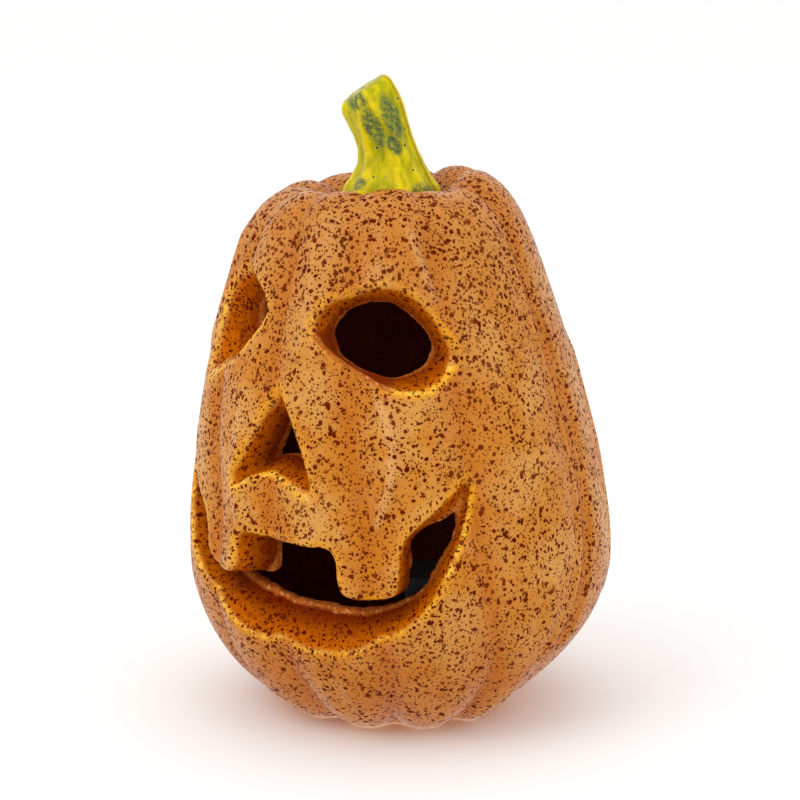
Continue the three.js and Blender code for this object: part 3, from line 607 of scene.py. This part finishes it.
def rgb(red, green, blue):
    """A linear colour from everyday 0 to 255 values."""
    channels = [c / 255 for c in (red, green, blue)]
    return tuple(c / 12.92 if c <= 0.04045 else ((c + 0.055) / 1.055) ** 2.4 for c in channels) + (1.0,)


def darker(colour, share):
    return tuple(c * share for c in colour[:3]) + (1.0,)


class Shader:
    """A material whose nodes are written as short calls; lengths are metres unless a name says mm."""

    def __init__(self, name):
        self.material = bpy.data.materials.new(name)
        self.material.use_nodes = True
        self.tree = self.material.node_tree
        self.surface = self.tree.nodes["Principled BSDF"]
        self.place = self.node("TexCoord").outputs["Object"]
        self.colour = None
        self.last_bump = None

    def put(self, socket, value):
        if isinstance(value, bpy.types.NodeSocket):
            self.tree.links.new(value, socket)
        else:
            socket.default_value = value

    def set(self, **inputs):
        for name, value in inputs.items():
            self.put(self.surface.inputs[name.replace("_", " ")], value)

    def node(self, kind, inputs=(), **settings):
        """A new node; inputs holds values or links by the input's name or number."""
        node = self.tree.nodes.new("ShaderNode" + kind)
        for name, value in settings.items():
            setattr(node, name, value)
        for name, value in dict(inputs).items():
            self.put(node.inputs[name], value)
        return node

    def math(self, operation, a, b):
        return self.node("Math", {0: a, 1: b}, operation=operation).outputs[0]

    def vector(self, operation, *inputs):
        return self.node("VectorMath", enumerate(inputs), operation=operation).outputs[0]

    def add(self, a, b):
        return self.math("ADD", a, b)

    def times(self, a, b):
        return self.math("MULTIPLY", a, b)

    def most(self, a, b):
        return self.math("MAXIMUM", a, b)

    def step(self, value, low, high):
        """0 below low and 1 above high, smooth between; falls instead if low is above high."""
        to = (0.0, 1.0) if low < high else (1.0, 0.0)
        inputs = {"Value": value, "From Min": min(low, high), "From Max": max(low, high),
                  "To Min": to[0], "To Max": to[1]}
        return self.node("MapRange", inputs, interpolation_type="SMOOTHSTEP").outputs["Result"]

    def mix(self, share, a, b):
        return self.node("Mix", {0: share, 6: a, 7: b}, data_type="RGBA").outputs[2]

    def lay(self, colour, share, strength=1.0):
        """Lays a colour over the material's colour where share is 1, as thick as the strength."""
        if strength < 1.0:
            share = self.times(share, strength)
        self.colour = self.mix(share, self.colour, colour)

    def patches(self, size_mm, detail, low, high, **settings):
        """Soft-edged patches: 0 where the noise is below low, 1 where it is above high."""
        return self.step(self.noise(size_mm, detail, **settings), low, high)

    def attributes(self, *names):
        return [self.node("Attribute", attribute_name=name).outputs["Fac"] for name in names]

    def noise_node(self, size_mm, detail=2.0, distortion=0.0, stretch=None, roughness=0.5):
        place = self.squeezed(self.place, stretch) if stretch else self.place
        return self.node("TexNoise", {
            "Vector": place, "Scale": 1.0 / (size_mm * MM), "Detail": detail,
            "Roughness": roughness, "Distortion": distortion})

    def noise(self, *args, **settings):
        return self.noise_node(*args, **settings).outputs["Fac"]

    def squeezed(self, vector, factors):
        return self.vector("MULTIPLY", vector, factors)

    def warped(self, size_mm, amount_mm):
        """The place moved about by noise, for ragged edges."""
        noise = self.noise_node(size_mm, 1).outputs["Color"]
        centred = self.vector("SUBTRACT", noise, (0.5, 0.5, 0.5))
        return self.vector("MULTIPLY_ADD", centred, (amount_mm * MM * 2,) * 3, self.place)

    def specks(self, spacing_mm, small_mm, big_mm, share, vector, offset=0.0, soft_mm=0.12):
        """A mask of scattered round spots: each cell has one with the chance `share`."""
        shifted = self.vector("ADD", vector, (offset, offset * 0.7, offset * 1.3))
        cells = self.node("TexVoronoi", {"Vector": shifted, "Scale": 1.0 / (spacing_mm * MM)})
        chance = self.node("SeparateColor", {0: cells.outputs["Color"]})
        size = self.times(self.math("POWER", chance.outputs[1], 2.0), (big_mm - small_mm) / spacing_mm)
        radius = self.add(size, small_mm / spacing_mm)
        edge = self.math("SUBTRACT", radius, cells.outputs["Distance"])
        spot = self.step(edge, -soft_mm / spacing_mm, soft_mm / spacing_mm)
        return self.times(spot, self.math("LESS_THAN", chance.outputs[0], share))

    def bump(self, height, distance_mm, strength=1.0):
        inputs = {"Strength": strength, "Distance": distance_mm * MM, "Height": height}
        if self.last_bump is not None:
            inputs["Normal"] = self.last_bump
        self.last_bump = self.node("Bump", inputs).outputs["Normal"]
        self.put(self.surface.inputs["Normal"], self.last_bump)


# Layers of speckle in the glaze: spacing, smallest and largest radius in mm, the share of places that
# have one, how the layer is squeezed, and an offset in metres that keeps the layers apart.
ROUND, TALL, WIDE = None, (1, 1, 0.5), (0.5, 0.5, 1)
SPECKLES = [
    (3.0, 0.55, 1.10, 0.62, ROUND, 0.0),
    (2.0, 0.44, 0.82, 0.66, ROUND, 0.031),
    (1.15, 0.27, 0.45, 0.85, ROUND, 0.057),
    (2.4, 0.40, 0.78, 0.55, TALL, 0.083),
    (2.4, 0.38, 0.74, 0.42, WIDE, 0.113),
]
CROWN_SPECKLES, CROWN_OFFSET = (2.7, 0.6, 1.15, 0.55), 0.141


def glaze_ground(s, groove, height, fold):
    """The glaze between the speckles: blotched, browner in grooves and on top, with paler crests that are
    partly glaze colour and partly a painted highlight along the creases.
    """
    s.colour = s.mix(s.patches(20, 3, 0.38, 0.62), rgb(194, 119, 16), rgb(206, 144, 64))
    s.lay(rgb(184, 98, 5), groove, 0.8)
    s.lay(rgb(200, 124, 8), s.patches(7, 2, 0.45, 0.75), 0.4)
    s.lay(rgb(186, 114, 40), s.step(height, 0.55, 0.98), 0.5)
    # Paler fold crests: partly glaze colour, partly a painted highlight.
    s.lay(rgb(226, 176, 116), s.math("POWER", fold, 2.5), 0.32)


def pooled_glaze_and_highlight(s, rim):
    """Yellow glaze gathers along the rims, most on edges that face up, with a few pale runs on up-facing
    edges that are partly glaze and partly a painted highlight.
    """
    facing = s.node("SeparateXYZ", {0: s.node("NewGeometry").outputs["Normal"]})
    upward = s.step(facing.outputs["Z"], -0.15, 0.4)
    pooled = s.times(rim, s.patches(9, 2, 0.30, 0.60))
    s.lay(rgb(230, 154, 2), s.times(pooled, s.add(s.times(upward, 0.35), 0.62)))
    # Pale runs only where the rim faces up: partly glaze, partly a painted highlight.
    pale_run_and_highlight = s.times(s.math("POWER", rim, 5.0), s.patches(3.0, 3, 0.42, 0.62))
    s.lay(rgb(252, 204, 70), s.times(pale_run_and_highlight, s.times(upward, 0.75)))


def recess_glaze_and_shade(s, deep):
    """Redder glaze on the walls of the face, darkened towards the hole as painted shade."""
    # Painted shade: the wall colour darkens as the recess deepens.
    wall = s.mix(s.step(deep, 0.12, 0.8), rgb(192, 96, 2), rgb(110, 30, 0))
    return s.mix(s.times(s.patches(4, 3, 0.45, 0.7, distortion=0.4), 0.4), wall, rgb(120, 40, 0))


def lay_speckles(s, height):
    """Dark speckles, more on the crown, the large ones with a soft halo. Returns their mask."""
    ragged, drawn = s.warped(1.1, 0.38), s.warped(2.0, 0.9)
    dots = s.times(s.step(height, 0.62, 0.86), s.specks(*CROWN_SPECKLES, ragged, CROWN_OFFSET))
    for spacing, small, big, share, squeeze, offset in SPECKLES:
        place = s.squeezed(drawn, squeeze) if squeeze else ragged
        dots = s.most(dots, s.specks(spacing, small, big, share, place, offset))
    dots = s.times(dots, s.add(s.times(s.patches(24, 2, 0.30, 0.62), 0.12), 0.88))
    ink = s.mix(s.patches(4, 2, 0.40, 0.65), rgb(84, 16, 0), rgb(108, 36, 2))
    ink = s.mix(s.times(s.patches(19, 2, 0.54, 0.66), 0.3), ink, rgb(92, 50, 34))
    s.lay(rgb(160, 72, 12), s.specks(3.0, 0.9, 1.7, 0.62, ragged, soft_mm=0.8), 0.25)
    s.lay(ink, dots)
    return dots


def lay_unglazed_and_inner_shade(s, cut, inside, foot):
    """The bare cut edges, the brown inside, which is bare clay painted darker than the cut edges as shade,
    and the wiped foot ring.
    """
    s.lay(s.mix(s.patches(1.6, 3, 0.54, 0.70), rgb(172, 88, 30), rgb(212, 148, 86)), cut)
    # The inside: bare clay in painted shade, darker than the same clay on the cut edges.
    s.lay(s.mix(s.noise(12, 3), rgb(112, 32, 6), rgb(140, 52, 14)), inside)
    s.lay(s.mix(s.patches(1.4, 3, 0.4, 0.7), rgb(206, 152, 112), rgb(226, 186, 152)), foot)


def orange_glaze():
    s = Shader("orange_speckled_glaze")
    groove, fold, height, rim = s.attributes("groove", "fold", "height", "rim")
    recess, deep, cut, inside, foot = s.attributes("recess", "recess_depth", "cut", "inside", "foot")
    # low is painted shade: it darkens the colour towards the bottom, and also dulls the glaze there.
    low = s.step(height, 0.34, 0.04)
    glaze_ground(s, groove, height, fold)
    pooled_glaze_and_highlight(s, rim)
    # Painted shade towards the bottom.
    s.lay(rgb(172, 86, 10), low, 0.62)
    s.lay(recess_glaze_and_shade(s, deep), recess)
    dots = lay_speckles(s, height)
    lay_unglazed_and_inner_shade(s, cut, inside, foot)

    matt = s.most(s.most(cut, foot), s.times(inside, 0.6))
    gloss = s.add(s.times(s.noise(5, 3), 0.14), 0.30)
    gloss = s.add(gloss, s.times(dots, 0.10))
    dull = s.most(s.most(recess, s.times(groove, 0.5)), matt)
    dull = s.most(dull, s.most(dots, s.times(low, 0.6)))
    s.set(Base_Color=s.colour, Roughness=s.add(gloss, s.times(matt, 0.35)), IOR=1.45,
          Coat_Weight=s.math("SUBTRACT", 0.10, s.times(dull, 0.10)), Coat_Roughness=0.14,
          Specular_IOR_Level=s.math("SUBTRACT", 0.26, s.times(dull, 0.25)))
    s.bump(s.noise(9, 2), 0.5, 0.35)
    s.bump(s.noise(1.6, 2), 0.07, 0.5)
    s.bump(dots, -0.06, 0.6)
    s.bump(s.times(matt, s.noise(0.9, 3)), 0.35, 0.7)
    return s.material


def stem_ground(s, ridge, mottled, stretch):
    """Mottled yellow green: yellower on the ridges, olive in the valleys, with small flecks."""
    s.colour = s.mix(s.step(mottled, 0.38, 0.62), rgb(174, 166, 0), rgb(206, 192, 0))
    crest = s.times(s.step(ridge, 0.35, 0.95), s.patches(5, 2, 0.34, 0.52, stretch=stretch))
    s.lay(rgb(236, 208, 2), crest, 0.85)
    s.lay(rgb(112, 124, 8), s.patches(0.55, 3, 0.53, 0.63, roughness=0.7), 0.4)
    s.lay(rgb(166, 172, 40), s.patches(2.0, 4, 0.52, 0.70, distortion=0.8), 0.3)
    valley = s.times(s.step(ridge, 0.42, 0.02), s.patches(3.5, 3, 0.44, 0.6, stretch=stretch))
    s.lay(rgb(104, 118, 10), valley, 0.5)


def lay_stem_patches(s, patch, cut):
    """Streaky dark green patches and a duller cut end, both peppered with fine dark specks."""
    streaky = s.patches(1.6, 4, 0.36, 0.60, distortion=0.6)
    s.lay(rgb(62, 92, 62), s.times(s.step(patch, 0.12, 0.55), s.add(s.times(streaky, 0.6), 0.4)), 0.9)
    s.lay(rgb(120, 136, 60), s.times(s.step(cut, 0.3, 0.9), s.times(streaky, 0.7)))
    specks = s.specks(1.1, 0.10, 0.30, 0.5, s.warped(0.7, 0.25))
    s.lay(rgb(36, 52, 34), s.times(specks, s.add(s.times(s.step(patch, 0.08, 0.4), 0.75), 0.25)))


def green_glaze():
    s = Shader("green_stem_glaze")
    ridge, seam, cut, patch = s.attributes("ridge", "seam", "cut", "patch")
    stretch = (1.0, 1.0, 0.35)
    mottled = s.noise(3.2, 3, stretch=stretch)
    stem_ground(s, ridge, mottled, stretch)
    lay_stem_patches(s, patch, cut)
    pinholes = s.specks(3.6, 0.36, 0.60, 0.8, s.place, 0.017, soft_mm=0.08)
    s.lay(rgb(238, 232, 150), s.specks(3.6, 0.52, 0.78, 0.8, s.place, 0.017, soft_mm=0.2), 0.35)
    s.lay(rgb(14, 12, 6), pinholes)
    s.lay(rgb(132, 92, 4), seam, 0.75)
    s.set(Base_Color=s.colour, Roughness=s.add(s.times(s.noise(2, 3), 0.18), 0.30),
          Coat_Weight=0.03, Coat_Roughness=0.2, Specular_IOR_Level=0.08)
    s.bump(mottled, 0.35, 0.5)
    s.bump(s.noise(0.9, 3), 0.10, 0.6)
    s.bump(pinholes, -0.4, 0.9)
    return s.material


# ---- pieces ----

def solid_object(name, points, quads, solid):
    """A mesh of the solid's surface, with normals taken from the function itself."""
    made = mesh_object(name, points, quads)
    normal = solid.gradient(points, 0.45)
    normal /= np.maximum(np.linalg.norm(normal, axis=1, keepdims=True), 1e-9)
    first = made.data.polygons[0]
    if first.normal.dot(Vector(normal[first.vertices[0]])) < 0:
        made.data.flip_normals()
    made.data.normals_split_custom_set_from_vertices(normal.astype(np.float32))
    return made


def casting_attributes(points, at):
    """What the orange glaze needs to know at each point of the casting, from 0 to 1."""
    below = -at["outer"]
    on_outside = 1 - ramp(below, 0.5, 1.6)
    opened = np.minimum(at["wall"], 50)
    # Undrafted walls near the rims are bare cuts; they take the inside's darker colour, which is painted
    # shade.
    sliced = 0.85 * at["steep"] * ramp(below, 0.7, 1.8)
    above_foot = points[:, 2] > 3
    return dict(
        groove=at["share"] * on_outside,
        # fold drives the paler crests, which are partly a painted highlight.
        fold=np.clip(at["fold"] / 1.4, 0, 1) * on_outside,
        rim=(1 - ramp(opened, 0.4, 3.8)) * (1 - ramp(np.abs(below - 0.2), 1.0, 3.8)),
        recess=(1 - ramp(opened, 0.4, 2.5)) * ramp(below, 0.4, 2.6),
        # recess_depth drives the painted shade on the recess walls.
        recess_depth=np.clip(at["sink"] / 20, 0, 1),
        cut=1 - ramp(at["cut"], 0.2, 0.9),
        inside=np.maximum(ramp(at["surface"], 0.9, 1.9), sliced) * above_foot,
        foot=(1 - ramp(points[:, 2], 0.1, 0.9)) * (at["radius"] > 30),
        height=points[:, 2] / CROWN_TOP,
    )


def stem_attributes(points, at):
    """What the green glaze needs to know at each point of the stem, from 0 to 1."""
    patches = np.zeros(len(points))
    for share, direction, tall, wide in STEM_PATCHES:
        off = turn_between(at["direction"], direction)
        patches = np.maximum(patches, np.exp(-((at["share"] - share) / tall) ** 2 - (off / wide) ** 2))
    return dict(
        ridge=np.clip(at["ridge"] / 0.15, 0, 1),
        seam=np.exp(-((1 - at["seam"]) / 0.35) ** 2),
        cut=ramp(at["cut"], -1.6, 0.2),
        patch=patches,
    )


def build_piece(name, node, solid, voxel, attributes, material):
    """Makes the surface of a solid in the place of a CAD node of the casting."""
    points, quads = surface_mesh(solid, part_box(node), voxel)
    made = solid_object(name, points, quads, solid)
    _, at = solid.evaluate(points, detail=True)
    for attribute, values in attributes(points, at).items():
        add_attribute(made, attribute, values)
    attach(made, "casting")
    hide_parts(node)
    made.data.materials.append(material)


def build_casting():
    build_piece("glazed_casting", "pumpkin_body", Casting(), VOXEL, casting_attributes,
                orange_glaze())


def build_stem():
    build_piece("ridged_stem", "stem", Stem(), STEM_VOXEL, stem_attributes, green_glaze())


def plastic(name, colour):
    """Moulded plastic: fine spark-eroded grain, faint flow marks and a few handling scuffs."""
    s = Shader(name)
    flow = s.noise(14, 2, 1.2)
    scuff = s.patches(1.8, 4, 0.62, 0.74, stretch=(1, 0.15, 1))
    pale = tuple(min(1.0, c * 1.7 + 0.012) for c in colour[:3]) + (1.0,)
    toned = s.mix(s.times(s.step(flow, 0.35, 0.7), 0.3), colour, pale)
    s.set(Base_Color=s.mix(s.times(scuff, 0.25), toned, pale),
          Roughness=s.add(s.times(flow, 0.12), s.add(s.times(scuff, -0.1), 0.42)))
    s.bump(s.noise(0.35, 2), 0.03, 0.5)
    return s.material


def metal(name, colour):
    """Drawn metal with fine lines and a little tarnish."""
    s = Shader(name)
    tarnish = s.patches(5, 3, 0.4, 0.7)
    s.set(Base_Color=s.mix(s.times(tarnish, 0.5), colour, darker(colour, 0.55)), Metallic=1.0,
          Roughness=s.add(s.times(tarnish, 0.2), 0.28))
    s.bump(s.noise(0.25, 2, stretch=(1, 1, 0.1)), 0.01, 0.6)
    return s.material


def rubber():
    s = Shader("rubber")
    dust = s.patches(2.5, 4, 0.5, 0.72)
    s.set(Base_Color=s.mix(s.times(dust, 0.4), rgb(24, 24, 25), rgb(92, 88, 82)), Roughness=0.8)
    s.bump(s.noise(0.4, 2), 0.05, 0.6)
    return s.material


def frosted():
    s = Shader("frosted_diffuser")
    s.set(Base_Color=s.mix(s.noise(3, 3), rgb(236, 232, 222), rgb(250, 248, 242)), Roughness=0.5,
          Transmission_Weight=0.45, IOR=1.49, Subsurface_Weight=0.2)
    s.bump(s.noise(0.3, 2), 0.04, 0.6)
    return s.material


def circuit_green():
    """Green solder mask over a grid of slightly raised tracks."""
    s = Shader("circuit_green")
    grid = {"Vector": s.place, "Scale": 260.0, "Mortar Size": 0.03, "Mortar Smooth": 0.2}
    tracks = s.node("TexBrick", grid).outputs["Fac"]
    green = s.mix(s.noise(0.7, 2), rgb(10, 74, 36), rgb(18, 92, 46))
    s.set(Base_Color=s.mix(s.times(tracks, 0.8), green, rgb(44, 132, 70)), Roughness=0.3, Coat_Weight=0.4)
    s.bump(tracks, 0.03, 0.6)
    return s.material


def amber_resin():
    s = Shader("amber_resin")
    resin = s.mix(s.noise(2, 2), rgb(240, 170, 60), rgb(250, 196, 96))
    s.set(Base_Color=resin, Roughness=0.12, Transmission_Weight=0.7, IOR=1.5)
    s.bump(s.noise(1.5, 2), 0.03, 0.4)
    return s.material


COPPER_FROM, TIP_FROM, PRINT_EDGE = 0.0346, 0.0468, 0.0002  # heights above the table in metres


def battery_sleeve():
    """Printed shrink sleeve: a plain dark wrap with a copper band at its upper end."""
    s = Shader("battery_sleeve")
    height = s.node("SeparateXYZ", {0: s.place}).outputs["Z"]
    band = s.step(height, COPPER_FROM, COPPER_FROM + PRINT_EDGE)
    tip = s.step(height, TIP_FROM, TIP_FROM + PRINT_EDGE)
    wrap = s.mix(s.noise(6, 2), rgb(26, 27, 30), rgb(40, 41, 46))
    copper = s.mix(s.noise(3, 3), rgb(176, 104, 52), rgb(200, 132, 76))
    shade = s.mix(tip, s.mix(band, wrap, copper), rgb(180, 180, 178))
    s.set(Base_Color=shade, Metallic=s.times(s.most(band, tip), 0.7), Roughness=0.3, Coat_Weight=0.3)
    s.bump(s.noise(1.2, 2), 0.04, 0.5)
    return s.material


def insulation(name, colour):
    s = Shader(name)
    s.set(Base_Color=s.mix(s.noise(1.5, 3), colour, darker(colour, 0.6)), Roughness=0.42)
    s.bump(s.noise(0.5, 2), 0.02, 0.5)
    return s.material


UNIT_FINISHES = {
    "plastic_black": lambda: plastic("plastic_black", rgb(30, 30, 32)),
    "plastic_grey": lambda: plastic("plastic_grey", rgb(84, 84, 88)),
    "plastic_frosted": frosted,
    "rubber": rubber,
    "steel": lambda: metal("steel", rgb(186, 188, 190)),
    "brass": lambda: metal("brass", rgb(214, 172, 92)),
    "board_green": circuit_green,
    "led_resin": amber_resin,
    "battery_sleeve": battery_sleeve,
    "wire_red": lambda: insulation("wire_red", rgb(170, 26, 20)),
    "wire_black": lambda: insulation("wire_black", rgb(22, 22, 24)),
}
EDGE_ROUNDING = {
    "plastic_black": 0.35, "plastic_grey": 0.4, "steel": 0.12, "brass": 0.1, "board_green": 0.12,
}
THIN_CONTACTS = ("spring_contact", "bridge_contact")
SHARP_EDGE = math.radians(38)


def round_edges(node, width_mm):
    bevel = node.modifiers.new("edges", "BEVEL")
    bevel.width = width_mm * MM
    bevel.segments = 2
    bevel.limit_method = "ANGLE"
    bevel.angle_limit = SHARP_EDGE
    bevel.harden_normals = True


def finish_unit():
    """Gives every kept CAD piece its material and small moulded edges."""
    finishes = {}
    for name, node in NODES.items():
        slot = node.data.materials[0].name if node.data.materials else ""
        if slot not in UNIT_FINISHES:
            continue
        if slot not in finishes:
            finishes[slot] = UNIT_FINISHES[slot]()
        for place in node.material_slots:
            place.material = finishes[slot]
        if slot in EDGE_ROUNDING and name not in THIN_CONTACTS:
            round_edges(node, EDGE_ROUNDING[slot])


# ---- stage ----

# The camera looks at TARGET from DISTANCE metres, aimed a little above it.
AZIMUTH, ELEVATION, DISTANCE = 34.5, 13.0, 1.08
LENS, SENSOR = 121.5, 36
TARGET = Vector((0, 0, 0.110))
AIM_RAISE = 0.0122
# Soft boxes: metres towards the camera, to its right and up, then side length and power.
LIGHTS = {
    "key": (0.7, -0.9, 1.2, 0.9, 5),
    "fill": (0.9, 1.0, 0.8, 1.2, 1.5),
    "top": (-0.4, 0.0, 1.5, 1.2, 1.5),
}
LIGHTS_AIM = Vector((0, 0, 0.1))
FLOOR_SIZE, FLOOR_DROP = 12, 0.0001
WORLD_STRENGTH = 1.05


def build_camera():
    """Returns the level directions towards the camera and to its right."""
    azimuth, elevation = math.radians(AZIMUTH), math.radians(ELEVATION)
    level = Vector((math.sin(azimuth), -math.cos(azimuth), 0))
    back = level * math.cos(elevation) + Vector((0, 0, math.sin(elevation)))
    right = Vector((math.cos(azimuth), math.sin(azimuth), 0))
    data = bpy.data.cameras.new("camera")
    data.lens = LENS
    data.sensor_width = SENSOR
    data.clip_start, data.clip_end = 0.05, 20
    camera = bpy.data.objects.new("camera", data)
    bpy.context.scene.collection.objects.link(camera)
    camera.location = TARGET + DISTANCE * back
    aim = TARGET + AIM_RAISE * back.cross(right) - camera.location
    camera.rotation_euler = aim.to_track_quat("-Z", "Y").to_euler()
    bpy.context.scene.camera = camera
    return level, right


def area_light(name, place, side, power):
    data = bpy.data.lights.new(name, "AREA")
    data.shape = "SQUARE"
    data.size = side
    data.energy = power
    light = bpy.data.objects.new(name, data)
    bpy.context.scene.collection.objects.link(light)
    light.location = place
    light.rotation_euler = (LIGHTS_AIM - place).to_track_quat("-Z", "Y").to_euler()


def floor_paper():
    """Pale matt paper that can't be seen from below, so that the underside can be looked at."""
    s = Shader("floor_paper")
    s.set(Base_Color=(0.94, 0.94, 0.935, 1), Roughness=0.85)
    behind = s.node("NewGeometry").outputs["Backfacing"]
    clear = s.node("BsdfTransparent").outputs[0]
    one_sided = s.node("MixShader", {0: behind, 1: s.surface.outputs[0], 2: clear})
    s.put(s.tree.nodes["Material Output"].inputs["Surface"], one_sided.outputs[0])
    return s.material


def build_floor():
    """The floor takes the object's shadow, but leaves the light that comes from below alone."""
    bpy.ops.mesh.primitive_plane_add(size=FLOOR_SIZE, location=(0, 0, -FLOOR_DROP))
    floor = bpy.context.object
    floor.name = "floor"
    floor.data.materials.append(floor_paper())
    floor.visible_diffuse = floor.visible_glossy = floor.visible_shadow = False


def build_stage():
    level, right = build_camera()
    build_floor()
    world = bpy.data.worlds.new("studio")
    world.use_nodes = True
    background = world.node_tree.nodes["Background"]
    background.inputs["Color"].default_value = (1.0, 1.0, 1.0, 1)
    background.inputs["Strength"].default_value = WORLD_STRENGTH
    bpy.context.scene.world = world
    for name, (ahead, across, up, side, power) in LIGHTS.items():
        area_light(name, level * ahead + right * across + Vector((0, 0, up)), side, power)


build_casting()
build_stem()
finish_unit()
build_stage()
bpy.context.scene.view_settings.view_transform = "Standard"
